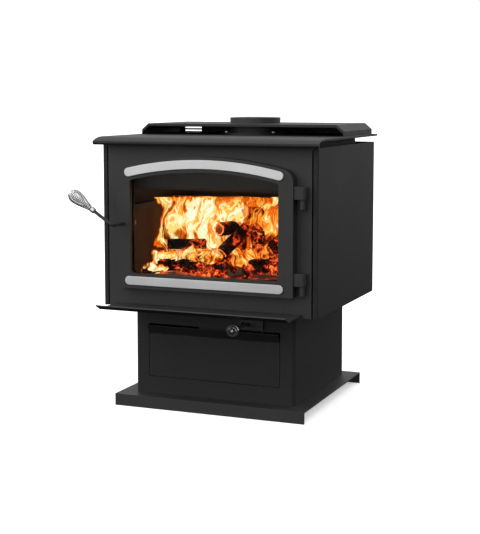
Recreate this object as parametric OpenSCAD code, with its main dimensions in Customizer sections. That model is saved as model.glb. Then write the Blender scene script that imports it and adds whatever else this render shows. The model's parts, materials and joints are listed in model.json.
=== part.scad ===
// Pedestal wood burning stove, in millimetres.
// X runs to the right, Y to the back and Z up, seen from the door.
// The origin is the middle of the base plate's front lower edge, on the floor.

/* [Base] */
// Width of the base plate
base_w = 590; // [560:1:720]
// Depth of the base plate
base_d = 537; // [500:1:660]
// Height of the base plate's top face
base_h = 35; // [29:1:48]
// Sheet thickness of the base plate
base_t = 3; // [2:0.5:4]
// Radius of a floor bolt hole
floor_hole_r = 5; // [4:0.5:7]

/* [Pedestal] */
// Width of the pedestal
pedestal_w = 498; // [470:1:540]
// Depth of the pedestal
pedestal_d = 448; // [420:1:470]
// Set-back of the pedestal's front from the base plate's front edge
pedestal_y = 46; // [30:1:70]
// Height of the pedestal's top above the floor
pedestal_top = 297; // [285:1:360]
// Radius of the pedestal's front bends
pedestal_r = 14; // [6:1:24]
// Sheet thickness of pedestal, drawer front and ash shelf
sheet_t = 3; // [2:0.5:4]
// Radius of the outside air inlet in the pedestal's back
inlet_r = 50.8; // [40:0.1:63]
// Height of the inlet's centre above the base plate
inlet_rise = 115; // [90:1:140]

/* [Ash drawer] */
// Width of the drawer front
drawer_w = 408; // [340:1:420]
// Height of the drawer front's lower edge above the base plate
drawer_rise = 52; // [40:1:60]
// Height of the flat part of the drawer front
drawer_flat_h = 127; // [110:1:130]
// Height of the outward-leaning pull lip
lip_h = 26; // [16:1:28]
// How far the pull lip leans out
lip_out = 18; // [10:1:24]
// Length of the drawer pan
pan_d = 380; // [300:1:400]
// Height of the drawer pan's walls
pan_h = 110; // [70:1:115]
// Wall thickness of the drawer pan
pan_t = 2; // [1.5:0.5:3]

/* [Body] */
// Width over the side jackets
body_w = 660; // [640:1:800]
// Depth of the side jackets
body_d = 547; // [530:1:680]
// Set-back of the front plate and jackets from the base's front edge
body_y = 5; // [0:1:12]
// Height of the top plate's underside above the pedestal
body_h = 488; // [460:1:600]
// Height of the open band between the jackets and the top plate
band_h = 18.5; // [10:0.5:30]
// Sheet thickness of jackets and rear shield
jacket_t = 2; // [1.5:0.5:3]
// Radius of the jackets' front bends
jacket_r = 5; // [4:0.5:9]
// Width of the firebox
firebox_w = 580; // [560:1:600]
// Depth of the firebox behind the front plate
firebox_d = 469; // [450:1:490]
// Plate thickness of the firebox and front plate
plate_t = 5; // [4:0.5:6]
// Height of the firebox floor above the pedestal
floor_rise = 23; // [18:1:30]
// Gap between the front plate's side edge and the jacket
reveal = 4; // [3:0.5:8]

/* [Top] */
// Width of the top plate
top_w = 686; // [670:1:820]
// Depth of the top plate
top_d = 571.5; // [560:0.5:700]
// Overhang of the top plate in front of the front plate
top_overhang = 37.5; // [30:0.5:50]
// Thickness of the top plate
top_t = 6; // [5:0.5:8]
// Drop of the rolled front nosing
nose_drop = 12; // [6:1:16]
// Depth of the lip turned under the nosing
nose_lip = 5; // [3:0.5:7]
// Width of the raised deck
deck_w = 650; // [620:1:680]
// Depth of the raised deck
deck_d = 290; // [260:1:290]
// Height of the raised deck above the top plate
deck_h = 33.5; // [28:0.5:45]
// Width of the deck's sloping shoulders
deck_shoulder = 22; // [12:1:28]
// Set-back of the deck from the front plate
deck_setback = 243; // [225:1:243]
// Inner radius of the flue collar
collar_r = 74; // [62:0.5:76]
// Wall thickness of the flue collar
collar_wall = 3; // [3:0.5:5]
// Height of the flue collar above the top plate
collar_h = 51; // [44:1:70]
// Set-back of the flue collar's centre from the front plate
collar_setback = 372; // [350:1:374]

/* [Door] */
// Width of the door
door_w = 539; // [520:1:550]
// Height of the door at the top of its arch
door_h = 381; // [360:1:400]
// Height of the door's lower edge above the pedestal
door_rise = 60; // [56:1:66]
// Radius of the door's arched top
arch_r = 1045; // [900:5:1400]
// Width of the door frame around the glass
frame_w = 42; // [40:1:46]
// Radius of the door's upper corners
corner_r = 38; // [20:1:38]
// How far the door's face stands proud of the front plate
door_proud = 33; // [31:0.5:36]
// Thickness of the door frame's face
door_t = 12; // [10:0.5:12]
// Thickness of the door glass
glass_t = 4; // [4:0.5:5]
// Width of the trim bars
bar_w = 25; // [16:1:27]
// Thickness of the trim bars
bar_t = 4; // [3:0.5:5]
// Gap between a trim bar and the door's edge
bar_inset = 8; // [7:0.5:12]
// Radius of the hinge pins
pin_r = 4; // [3:0.5:5]
// Height of a hinge block on the door
hinge_h = 35; // [26:1:40]

/* [Handle] */
// Radius of the handle rod
rod_r = 4.75; // [3.75:0.25:5.75]
// Height of the handle pivot above the door's lower edge
handle_rise = 186; // [170:1:200]
// Distance of the handle arm in front of the door's face
arm_out = 64; // [45:1:80]
// Angle of the arm above the horizontal
arm_tilt = 33.6; // [10:0.1:50]
// Length of the arm from pivot to tip
arm_len = 164; // [140:1:200]
// Length of the coil grip
grip_len = 82; // [60:1:100]
// Outer radius of the coil grip at its widest
grip_r = 19.5; // [14:0.5:24]
// Radius of the coil's wire
wire_r = 1.5; // [1.2:0.1:2.4]
// Turns in the coil grip
grip_turns = 14; // [10:1:16]

/* [Air control] */
// Sideways place of the air control rod
air_x = 106; // [100:1:112]
// Height of the air control rod below the pedestal's top
air_drop = 35; // [30:1:38]
// Radius of the air control rod
air_r = 4; // [3:0.5:5]
// Outer radius of the coil knob
knob_r = 17.5; // [13:0.5:18]
// Length of the coil knob
knob_len = 38; // [28:1:44]
// Turns in the coil knob
knob_turns = 6; // [4:1:7]
// Distance of the knob's tip in front of the pedestal
knob_out = 118; // [90:1:130]

/* [Ash shelf] */
// Width of the ash shelf
shelf_w = 570; // [520:1:600]
// Depth of the shelf's flat part
shelf_d = 111; // [80:1:130]
// Depth of the shelf's turned-up lip
shelf_lip_d = 24; // [14:1:34]
// Height of the shelf's turned-up lip
shelf_lip_h = 13; // [8:1:24]
// Height of the shelf above the pedestal's top
shelf_rise = 10; // [9:1:16]

/* [Lining] */
// Thickness of a firebrick
brick_t = 32; // [28:1:34]
// Height of the upright firebricks
brick_h = 230; // [200:1:232]
// Joint between firebricks
brick_gap = 1; // [0.6:0.1:2]
// Radius of a secondary air tube
tube_r = 11; // [8:0.5:13]
// Height of the air tubes' centres above the firebox floor
tube_rise = 331; // [322:1:340]

/* [Hidden] */
$fn = 64;

// Clearance kept between a moving piece and its neighbour
clear = 0.3;
// Radial clearance of a shaft in its bearing
running = 0.05;
// Amount by which a cut runs past the face it opens
over = 1;

// Pedestal and drawer
pedestal_hw = pedestal_w / 2;
pedestal_back_y = pedestal_y + pedestal_d;
inlet_z = base_h + inlet_rise;
floor_bolt_x = pedestal_hw - 49;
floor_bolt_y = [pedestal_y + 64, pedestal_back_y - 64];
drawer_hw = drawer_w / 2;
drawer_z0 = base_h + drawer_rise;
lip_z = drawer_z0 + drawer_flat_h;
drawer_top = lip_z + lip_h;
drawer_gap = 1.5;
pan_hw = drawer_hw - 19;
pan_z0 = drawer_z0 + 5;
pan_z1 = pan_z0 + pan_h;
runner_ledge = 22;
runner_wall_h = 38;

// Body
body_hw = body_w / 2;
body_top = pedestal_top + body_h;
jacket_top = body_top - band_h;
body_back = body_y + body_d;
jacket_in = body_hw - jacket_t;
jacket_leg_x = body_hw - 14;
jacket_leg_y = body_y + 28;
jacket_return_x = body_hw - 28;
front_hw = jacket_leg_x - reveal;
front_back = body_y + plate_t;
firebox_hw = firebox_w / 2;
firebox_back = front_back + firebox_d;
floor_z0 = pedestal_top + floor_rise;
floor_z1 = floor_z0 + plate_t + 1;
body_floor_t = 4;
inner_hw = firebox_hw - plate_t;
inner_back = firebox_back - plate_t;
chute_hw = 50;
chute_y = [body_y + 57, body_y + 143];
chute_bottom = drawer_top - 30;
chute_t = 2;
air_slot = [air_x - 26, air_x + 26];
air_slot_y = [pedestal_y + 60, pedestal_y + 105];
standoff_y = [body_y + 90, body_y + 395];
standoff_z = [pedestal_top + 85, pedestal_top + 405];
standoff_r = 6;

// Top
top_hw = top_w / 2;
top_z = body_top + top_t;
top_front = body_y - top_overhang;
top_back = top_front + top_d;
deck_hw = deck_w / 2;
deck_z = top_z + deck_h;
deck_shoulder_z = deck_z - deck_h * 0.55;
deck_y = body_y + deck_setback;
deck_back = deck_y + deck_d;
deck_t = 2;
deck_fold = 8;
collar_y = body_y + collar_setback;
collar_top = top_z + collar_h;
collar_out_r = collar_r + collar_wall;
collar_flange_t = 5;
collar_flange_r = collar_out_r + 22;
collar_pcd_r = collar_out_r + 12;
bolt_r = 4;
bolt_head_r = 7.5;
bolt_head_h = 5;

// Door, seen from the front as an arched panel
door_hw = door_w / 2;
door_z0 = pedestal_top + door_rise;
door_apex = door_z0 + door_h;
arch_z = door_apex - arch_r;
door_face = body_y - door_proud;
door_back = door_face + door_t;
rope_w = 9;
skirt_t = 4;
rib_t = 3;
rope_floor = door_back + 8;
glass_lap = 8;
tape_t = 1.5;
glass_y = door_back + tape_t;
glass_back = glass_y + glass_t;
clip_t = 2;
pin_x = door_hw + 21.5;
pin_y = door_face + 16;
hinge_z = [door_z0 + 32 + clear, door_z0 + 270 + clear];
knuckle_h = 27;
knuckle_r = 8.25;
block_r = 12;

// Handle and latch
handle_x = -(door_hw - 21.5);
handle_z = door_z0 + handle_rise;
arm_y = door_face - arm_out;
elbow_r = 12;
grip_x0 = arm_len - grip_len;
ferrule_len = 12;
boss_r = rod_r + 2.75;
cam_y = front_back + clear;
cam_t = 6;
cam_reach = 19;
latch_slot_w = 2 * rod_r + 4.5;
latch_nut_r = latch_slot_w / 2 - 0.6;
cam_hub_r = latch_slot_w / 2 - 0.5;
cam_hw = cam_hub_r - 1;
latch_slot_z = [handle_z - 33, handle_z + 33];
opening_hw = door_hw - frame_w + 1.5;
keeper_x = [handle_x + latch_slot_w / 2 + 0.5, -opening_hw];

// Air control
air_z = pedestal_top - air_drop;
damper_z1 = pedestal_top - clear;
damper_z0 = damper_z1 - 3;
damper_x = [air_x - 32, air_x + 32];
damper_y = [pedestal_y + 54, pedestal_y + 114];
guide_x = [air_x - 22, air_x + 51];
guide_z = [air_z - 14, air_z + 14];
guide_y = pedestal_y - 8;
knob_y0 = pedestal_y - knob_out;

// Lining
brick_z0 = floor_z1 + brick_t;
brick_top = brick_z0 + brick_h;
side_brick_y = front_back + 20;
tube_z = floor_z1 + tube_rise;
tube_y = [for (i = [0:3]) front_back + 92 + i * (firebox_d - 150) / 3];
manifold_w = 24;
manifold_z = [tube_z - 22, tube_z + 23];
plug_r = 40;
plug_neck_r = 33.5;
plug_y = (chute_y[0] + chute_y[1]) / 2;

// Points along a round stretch
function arc(c, r, a0, a1, n) =
  [for (i = [0:n]) let (a = a0 + (a1 - a0) * i / n) c + r * [cos(a), sin(a)]];

// Outline of a folded sheet: the path is its outer face, the sheet lies to the path's left
function unit(v) = v / norm(v);
function left_of(a, b) = let (u = unit(b - a)) [-u[1], u[0]];
function miter(p, i) =
  i == 0 ? left_of(p[0], p[1])
  : i == len(p) - 1 ? left_of(p[i - 1], p[i])
  : let (n1 = left_of(p[i - 1], p[i]), n2 = left_of(p[i], p[i + 1])) (n1 + n2) / (1 + n1 * n2);
function sheet(p, t) =
  concat(p, [for (i = [len(p) - 1:-1:0]) p[i] + t * miter(p, i)]);

// Outline of the arched door, drawn smaller by inset all round
function arch_panel(inset, r_top, r_bottom) =
  let (
    hw = door_hw - inset,
    big = arch_r - inset,
    r = max(r_top - inset, 4),
    z0 = door_z0 + inset,
    cx = hw - r,
    cz = arch_z + sqrt((big - r) * (big - r) - cx * cx),
    lean = atan2(cz - arch_z, cx)
  )
  concat(
    arc([cx, cz], r, 0, lean, 12),
    arc([0, arch_z], big, lean, 180 - lean, 36),
    arc([-cx, cz], r, 180 - lean, 180, 12),
    arc([-hw + r_bottom, z0 + r_bottom], r_bottom, 180, 270, 8),
    arc([hw - r_bottom, z0 + r_bottom], r_bottom, 270, 360, 8)
  );

// Height of the arch, drawn smaller by inset, at a place across the door
function arch_at(inset, x) = arch_z + sqrt(pow(arch_r - inset, 2) - x * x);

// An outline in X and Z carried from y0 to y1
module along_y(y0, y1) {
  translate([0, y1, 0]) rotate([90, 0, 0]) linear_extrude(y1 - y0) children();
}

// An outline in Y and Z carried from x0 to x1
module along_x(x0, x1) {
  translate([x0, 0, 0]) rotate([90, 0, 90]) linear_extrude(x1 - x0) children();
}

// A box between two corners
module block(a, b) {
  translate(a) cube(b - a);
}

// A round bar along Y
module bar_y(x, z, r, y0, y1) {
  translate([x, y0, z]) rotate([-90, 0, 0]) cylinder(r = r, h = y1 - y0);
}

// A flat slot with round ends, in the plane being drawn
module slot_outline(len, w) {
  square([len - w, w], center = true);
  for (s = [-1, 1]) translate([s * (len - w) / 2, 0]) circle(d = w);
}

// A wire wound along X; rad gives the winding's radius for each place from 0 to 1
module wound_wire(len, turns, rad, wire) {
  sides = 8;
  steps = 14 * turns;
  rings = [
    for (i = [0:steps])
      let (
        t = i / steps,
        a = 360 * turns * t,
        out = [0, cos(a), sin(a)],
        mid = [wire + (len - 2 * wire) * t, 0, 0] + rad[i] * out
      )
      for (k = [0:sides - 1])
        mid + wire * (cos(360 * k / sides) * out + sin(360 * k / sides) * [1, 0, 0])
  ];
  last = steps * sides;
  faces = concat(
    [[for (k = [sides - 1:-1:0]) k]],
    [
      for (i = [0:steps - 1], k = [0:sides - 1])
        let (n = (k + 1) % sides, a = i * sides)
        [a + k, a + n, a + sides + n, a + sides + k]
    ],
    [[for (k = [0:sides - 1]) last + k]]
  );
  polyhedron(points = rings, faces = faces, convexity = 10);
}

// Radius of a teardrop winding at t from 0 to 1: it swells to the crown and closes at the tip
crown = 0.76;
function teardrop(t, neck, wide) =
  t < crown
  ? neck + (wide - neck) * pow(sin(90 * t / crown), 1.4)
  : wide * sqrt(1 - 0.86 * pow((t - crown) / (1 - crown), 2));

// ---- Pedestal ----

// Sheet on the floor, its front and rear edges folded down
module base_plate() {
  color("#3a3a3b") difference() {
    along_x(-base_w / 2, base_w / 2)
      polygon(sheet([[base_d, 0], [base_d, base_h], [0, base_h], [0, 0]], base_t));
    for (x = [-floor_bolt_x, floor_bolt_x], y = floor_bolt_y)
      translate([x, y, base_h - base_t - over]) cylinder(r = floor_hole_r, h = base_t + 2 * over);
  }
}

// Plan of the pedestal's front and sides, drawn smaller by inset
module pedestal_plan(inset) {
  hw = pedestal_hw - inset;
  r = pedestal_r - inset;
  y0 = pedestal_y + inset;
  polygon(concat(
    [[hw, pedestal_back_y + inset], [-hw, pedestal_back_y + inset]],
    arc([-hw + r, y0 + r], r, 180, 270, 12),
    arc([hw - r, y0 + r], r, 270, 360, 12)
  ));
}

// Folded front and sides, with the drawer opening and the hole for the air control
module pedestal_shell() {
  open_hw = drawer_hw + drawer_gap;
  color("#39393a") difference() {
    translate([0, 0, base_h]) linear_extrude(pedestal_top - base_h) pedestal_plan(0);
    translate([0, 0, base_h - over]) linear_extrude(pedestal_top - base_h + 2 * over)
      pedestal_plan(sheet_t);
    block(
      [-open_hw, pedestal_y - over, drawer_z0 - drawer_gap],
      [open_hw, pedestal_y + sheet_t + over, drawer_top + drawer_gap + 2]
    );
    bar_y(air_x, air_z, air_r + 2, pedestal_y - over, pedestal_y + sheet_t + over);
  }
}

// Flat back panel with the round outside air inlet
module pedestal_back() {
  color("#343435") difference() {
    block(
      [-pedestal_hw + sheet_t, pedestal_back_y - sheet_t, base_h],
      [pedestal_hw - sheet_t, pedestal_back_y, pedestal_top]
    );
    bar_y(0, inlet_z, inlet_r, pedestal_back_y - sheet_t - over, pedestal_back_y + over);
  }
}

// Two angle rails that carry the drawer pan
module drawer_runners() {
  outer = pedestal_hw - sheet_t;
  inner = pan_hw - runner_ledge;
  z1 = pan_z0 - clear;
  y0 = pedestal_y + pedestal_r + 1;
  y1 = pedestal_back_y - sheet_t;
  color("#77797c") for (s = [0, 1]) mirror([s, 0, 0]) along_y(y0, y1)
    polygon([
      [inner, z1 - sheet_t], [outer, z1 - sheet_t], [outer, z1 + runner_wall_h],
      [outer - sheet_t, z1 + runner_wall_h], [outer - sheet_t, z1], [inner, z1]
    ]);
}

// ---- Body ----

// Plate that joins pedestal, firebox and jackets, with slots for the convection air
module body_floor() {
  z0 = pedestal_top;
  color("#343435") difference() {
    union() {
      block([-front_hw, front_back, z0], [front_hw, body_back - jacket_t, z0 + body_floor_t]);
      block([-jacket_in, jacket_leg_y + 2, z0], [jacket_in, body_back - 5, z0 + body_floor_t]);
    }
    block(
      [-chute_hw - 1, chute_y[0] - 1, z0 - over],
      [chute_hw + 1, chute_y[1] + 1, z0 + body_floor_t + over]
    );
    block(
      [air_slot[0], air_slot_y[0], z0 - over],
      [air_slot[1], air_slot_y[1], z0 + body_floor_t + over]
    );
    for (s = [-1, 1], i = [0:3])
      translate([s * (firebox_hw + jacket_in) / 2, body_y + 95 + 110 * i, z0 - over])
        linear_extrude(body_floor_t + 2 * over) rotate(90) slot_outline(80, 16);
    for (i = [-2:2])
      translate([i * 104, (firebox_back + body_back) / 2, z0 - over])
        linear_extrude(body_floor_t + 2 * over) slot_outline(80, 26);
  }
}

// Firebox side plates, welded to front plate, back, roof and floor
module firebox_sides() {
  z0 = pedestal_top + body_floor_t;
  color("#3c3a38") for (s = [0, 1]) mirror([s, 0, 0])
    block([inner_hw, front_back, z0], [firebox_hw, firebox_back, body_top]);
}

// Firebox back plate, between the sides
module firebox_back_plate() {
  color("#3c3a38")
    block([-inner_hw, inner_back, pedestal_top + body_floor_t], [inner_hw, firebox_back, body_top]);
}

// Firebox roof with the flue hole
module firebox_roof() {
  color("#3c3a38") difference() {
    block([-inner_hw, front_back, body_top - plate_t], [inner_hw, inner_back, body_top]);
    translate([0, collar_y, body_top - plate_t - over])
      cylinder(r = collar_r + 1, h = plate_t + 2 * over);
    collar_bolt_places() cylinder(r = bolt_r, h = 40, center = true);
  }
}

// Raised firebox floor with the round hole for the ash plug's neck
module firebox_floor() {
  color("#3c3a38") difference() {
    block([-inner_hw, front_back, floor_z0], [inner_hw, inner_back, floor_z1]);
    translate([0, plug_y, floor_z0 - over])
      cylinder(r = plug_neck_r + 0.5, h = floor_z1 - floor_z0 + 2 * over);
  }
}

// Places of the flue collar's bolts, at the top plate's upper face
module collar_bolt_places() {
  for (a = [90, 210, 330])
    translate([collar_pcd_r * cos(a), collar_y + collar_pcd_r * sin(a), top_z]) children();
}

// Flat front plate with the arched loading opening and the latch slot
module front_plate() {
  color("#3d3d3e") difference() {
    block([-front_hw, body_y, pedestal_top], [front_hw, front_back, body_top]);
    along_y(body_y - over, front_back + over) polygon(arch_panel(frame_w - 1.5, corner_r, 12));
    block(
      [handle_x - latch_slot_w / 2, body_y - over, latch_slot_z[0]],
      [handle_x + latch_slot_w / 2, front_back + over, latch_slot_z[1]]
    );
  }
}

// One side jacket on the right; the left one is its mirror image
module jacket() {
  rc = jacket_r;
  outer = concat(
    [[jacket_leg_x, jacket_leg_y], [jacket_leg_x, body_y]],
    arc([body_hw - rc, body_y + rc], rc, 270, 360, 12),
    arc([body_hw - 4, body_back - 4], 4, 0, 90, 6),
    [[jacket_return_x, body_back], [jacket_return_x, body_back - jacket_t]]
  );
  inner = concat(
    arc([body_hw - 4, body_back - 4], 4 - jacket_t, 90, 0, 6),
    arc([body_hw - rc, body_y + rc], rc - jacket_t, 360, 270, 12),
    [[jacket_leg_x + jacket_t, body_y + jacket_t], [jacket_leg_x + jacket_t, jacket_leg_y]]
  );
  translate([0, 0, pedestal_top]) linear_extrude(jacket_top - pedestal_top)
    polygon(concat(outer, inner));
}

module side_jacket_left() {
  color("#3b3b3c") mirror([1, 0, 0]) jacket();
}

module side_jacket_right() {
  color("#3b3b3c") jacket();
}

// Rear heat shield between the jackets' returns, with rows of convection slots
module rear_shield() {
  hw = jacket_return_x;
  color("#363637") difference() {
    block([-hw, body_back - jacket_t, pedestal_top], [hw, body_back, jacket_top]);
    for (row = [0:2], i = [-2:2])
      along_y(body_back - jacket_t - over, body_back + over)
        translate([i * 105, pedestal_top + 60 + row * 24]) slot_outline(80, 8);
    for (i = [-2:2])
      along_y(body_back - jacket_t - over, body_back + over)
        translate([i * 105, jacket_top - 40]) slot_outline(80, 8);
  }
}

// Round spacers that hold jackets and rear shield off the firebox
module jacket_standoffs() {
  color("#77797c") {
    for (s = [0, 1], y = standoff_y, z = standoff_z)
      mirror([s, 0, 0]) translate([firebox_hw, y, z]) rotate([0, 90, 0])
        cylinder(r = standoff_r, h = jacket_in - firebox_hw);
    for (x = [-180, 180], z = standoff_z)
      bar_y(x, z, standoff_r, firebox_back, body_back - jacket_t);
  }
}

// ---- Top ----

// Cook top with a rolled, drooping front nosing
module top_plate() {
  roll = 18;
  steps = 12;
  run = body_y - top_front;
  upper = [
    for (i = [0:steps])
      let (y = top_front + (run + roll) * i / steps)
      [y, top_z - nose_drop * pow((body_y + roll - y) / (run + roll), 2)]
  ];
  lower = [
    for (i = [steps:-1:3])
      let (y = top_front + run * i / steps)
      [y, body_top - nose_drop * pow((body_y - y) / run, 2)]
  ];
  nose_z = top_z - nose_drop - top_t;
  color("#464646") difference() {
    along_x(-top_hw, top_hw)
      polygon(concat(
        upper,
        [[top_back, top_z], [top_back, body_top]],
        lower,
        [
          [top_front + 7.5, nose_z - nose_lip + 1.5], [top_front + 6, nose_z - nose_lip],
          [top_front + 5, nose_z - nose_lip], [top_front, nose_z + 0.5]
        ]
      ));
    translate([0, collar_y, body_top - over]) cylinder(r = collar_r + 1, h = top_t + 2 * over);
    collar_bolt_places() cylinder(r = bolt_r, h = 40, center = true);
  }
}

// Half-section of the deck from its foot to the middle of its flat
function deck_path(drop) = [
  [deck_hw, top_z], [deck_hw, deck_shoulder_z - drop],
  [deck_hw - deck_shoulder, deck_z - drop], [-deck_hw + deck_shoulder, deck_z - drop],
  [-deck_hw, deck_shoulder_z - drop], [-deck_hw, top_z]
];

// Raised deck: a folded sheet tunnel that lets warm air out at its front
module convection_deck() {
  color("#464646") difference() {
    union() {
      along_y(deck_y, deck_back - deck_t) polygon(sheet(deck_path(0), deck_t));
      along_y(deck_y, deck_y + deck_t) difference() {
        polygon(deck_path(0));
        polygon(concat(
          [[deck_hw - deck_t, top_z - over]],
          [for (i = [1:4]) deck_path(deck_fold)[i] - [(i < 3 ? 1 : -1) * deck_t, 0]],
          [[-deck_hw + deck_t, top_z - over]]
        ));
      }
    }
    translate([0, collar_y, deck_z - 3 * deck_t])
      cylinder(r = collar_out_r + 3, h = 4 * deck_t);
  }
}

// Back panel of the deck's tunnel, with two slots at each end
module deck_back_panel() {
  slot_z = [top_z + 4.5, top_z + 14];
  slot_x = deck_hw - deck_shoulder - 22;
  color("#464646") along_y(deck_back - deck_t, deck_back) difference() {
    polygon(deck_path(0));
    for (s = [-1, 1], z = slot_z) translate([s * slot_x, z]) slot_outline(60, 4);
  }
}

// Flue collar, a plain round spigot
module flue_collar() {
  color("#3b3b3c") translate([0, collar_y, top_z]) difference() {
    cylinder(r = collar_out_r, h = collar_h);
    translate([0, 0, -over]) cylinder(r = collar_r, h = collar_h + 2 * over);
  }
}

// Round flange welded to the collar's foot, hidden under the deck
module collar_flange() {
  color("#3b3b3c") difference() {
    translate([0, collar_y, top_z]) cylinder(r = collar_flange_r, h = collar_flange_t);
    translate([0, collar_y, top_z - over])
      cylinder(r = collar_out_r, h = collar_flange_t + 2 * over);
    collar_bolt_places() cylinder(r = bolt_r, h = 40, center = true);
  }
}

// Three hexagon bolts through flange, top plate and firebox roof
module collar_bolts() {
  color("#8a8c8e") collar_bolt_places() {
    translate([0, 0, collar_flange_t]) cylinder(r = bolt_head_r, h = bolt_head_h, $fn = 6);
    translate([0, 0, -top_t - plate_t]) cylinder(r = bolt_r, h = top_t + plate_t + collar_flange_t);
  }
}

// ---- Ash shelf and chute ----

// Places of the screws that hold the shelf's flange to the front plate
module shelf_screw_places() {
  for (i = [-1, 0, 1])
    translate([i * shelf_w * 0.4, body_y, pedestal_top + (shelf_rise - sheet_t) / 2]) rotate([90, 0, 0])
      children();
}

// Shelf below the door: a flange on the front plate, a flat and a turned-up lip
module ash_shelf() {
  z = pedestal_top + shelf_rise;
  crease = body_y - shelf_d;
  color("#414142") difference() {
    along_x(-shelf_w / 2, shelf_w / 2)
      polygon(sheet(
        [
          [body_y, pedestal_top], [body_y, z], [crease, z],
          [crease - shelf_lip_d, z + shelf_lip_h]
        ],
        sheet_t
      ));
    shelf_screw_places() cylinder(r = 2, h = 20, center = true);
  }
}

// Pan-head screws in the shelf's flange
module shelf_screws() {
  color("#8a8c8e") shelf_screw_places() {
    cylinder(r = 2, h = sheet_t);
    translate([0, 0, sheet_t]) cylinder(r = 3.2, h = 1.6);
  }
}

// Square duct that drops ash from the firebox floor into the drawer
module ash_chute() {
  color("#3c3a38") difference() {
    block([-chute_hw, chute_y[0], chute_bottom], [chute_hw, chute_y[1], floor_z0]);
    block(
      [-chute_hw + chute_t, chute_y[0] + chute_t, chute_bottom - over],
      [chute_hw - chute_t, chute_y[1] - chute_t, floor_z0 + over]
    );
  }
}

// ---- Lining and inner air parts ----

// A row of firebricks filling a length along X
module brick_row(x0, x1, n, size_y, size_z) {
  step = (x1 - x0) / n;
  for (i = [0:n - 1])
    translate([x0 + i * step + brick_gap / 2, 0, 0]) cube([step - brick_gap, size_y, size_z]);
}

// Two rows of five bricks, less the front middle one
module floor_bricks() {
  y0 = front_back + 1;
  row_d = (inner_back - y0 - brick_gap) / 2;
  step = 2 * inner_hw / 5;
  color("#7b6a58") for (row = [0, 1], i = [-2:2])
    if (row == 1 || i != 0)
      translate([(i - 0.5) * step + brick_gap / 2, y0 + row * (row_d + brick_gap), floor_z1])
        cube([step - brick_gap, row_d, brick_t]);
}

// The front middle floor brick, bored for the ash plug
module plug_brick() {
  y0 = front_back + 1;
  step = 2 * inner_hw / 5;
  color("#7b6a58") difference() {
    translate([-step / 2 + brick_gap / 2, y0, floor_z1])
      cube([step - brick_gap, (inner_back - y0 - brick_gap) / 2, brick_t]);
    translate([0, plug_y, floor_z1 - over]) cylinder(r = plug_r + 1, h = brick_t + 2 * over);
  }
}

// Upright bricks of one side wall
module side_brick_row() {
  translate([inner_hw, 0, brick_z0]) rotate([0, 0, 90])
    brick_row(side_brick_y, inner_back, 4, brick_t, brick_h);
}

module left_bricks() {
  color("#7b6a58") mirror([1, 0, 0]) side_brick_row();
}

module right_bricks() {
  color("#7b6a58") side_brick_row();
}

// Upright bricks of the back wall, between the side walls
module rear_bricks() {
  hw = inner_hw - brick_t;
  color("#7b6a58") translate([0, inner_back - brick_t, brick_z0])
    brick_row(-hw, hw, 4, brick_t, brick_h);
}

// Steel ledges that cap the upright bricks and keep them from falling in
module brick_retainers() {
  z0 = brick_top + clear;
  lip = brick_t + 4;
  drop = 14;
  profile = [
    [0, z0], [brick_t + 1, z0], [brick_t + 1, z0 - drop], [lip, z0 - drop], [lip, z0 + 3],
    [0, z0 + 3]
  ];
  color("#5b5650") {
    for (s = [0, 1]) mirror([s, 0, 0])
      along_y(side_brick_y, inner_back - lip)
        polygon([for (p = profile) [inner_hw - p[0], p[1]]]);
    along_x(-inner_hw + lip + 1, inner_hw - lip - 1)
      polygon([for (p = profile) [inner_back - p[0], p[1]]]);
  }
}

// Bent plate that sends the airwash down behind the glass
module airwash_deflector() {
  y1 = front_back + 26;
  z1 = body_top - plate_t - 32;
  z0 = door_apex - frame_w - 45;
  color("#4a4a4b") along_x(-opening_hw - 24, opening_hw + 24)
    polygon(sheet([[front_back, z1], [y1 - 6, z1], [y1, z1 - 8], [y1, z0], [y1 + 12, z0 - 10]], -3));
}

// Two box ducts along the side walls that feed the secondary tubes
module tube_manifolds() {
  y0 = front_back + 20;
  wall = 2;
  color("#5b5650") for (s = [0, 1]) mirror([s, 0, 0]) difference() {
    block([inner_hw - manifold_w, y0, manifold_z[0]], [inner_hw, inner_back, manifold_z[1]]);
    block(
      [inner_hw - manifold_w + wall, y0 + wall, manifold_z[0] + wall],
      [inner_hw - wall, inner_back - wall, manifold_z[1] - wall]
    );
    for (y = tube_y)
      translate([inner_hw - manifold_w - over, y, tube_z]) rotate([0, 90, 0])
        cylinder(r = tube_r, h = wall + 2 * over);
  }
}

// Four perforated stainless tubes across the firebox
module secondary_tubes() {
  hw = inner_hw - manifold_w + 2;
  holes = 8;
  pitch = 2 * (hw - 40) / (holes - 1);
  color("#8c7f72") for (y = tube_y) translate([0, y, tube_z]) difference() {
    rotate([0, 90, 0]) cylinder(r = tube_r, h = 2 * hw, center = true);
    rotate([0, 90, 0]) cylinder(r = tube_r - 1.5, h = 2 * hw + 2 * over, center = true);
    for (i = [0:holes - 1])
      translate([-hw + 40 + i * pitch, 0, 0]) rotate([120, 0, 0]) cylinder(r = 2.5, h = 2 * tube_r);
  }
}

// Two insulating boards resting on the tubes
module baffle_boards() {
  hw = inner_hw - manifold_w - 1;
  color("#a89b86") for (s = [0, 1]) mirror([s, 0, 0])
    block([0.5, tube_y[0] - 20, tube_z + tube_r], [hw, inner_back - 1, tube_z + tube_r + 25]);
}

// ---- Door furniture on the body ----

// Knuckles on the front plate that carry the hinge pins
module hinge_brackets() {
  color("#39393a") for (z = hinge_z) difference() {
    union() {
      translate([pin_x, pin_y, z - clear - knuckle_h]) cylinder(r = knuckle_r, h = knuckle_h);
      block(
        [pin_x - knuckle_r + 1, pin_y, z - clear - knuckle_h],
        [pin_x + knuckle_r - 1, body_y, z - clear]
      );
    }
    translate([pin_x, pin_y, z - clear - knuckle_h + 3]) cylinder(r = pin_r, h = knuckle_h);
  }
}

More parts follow.
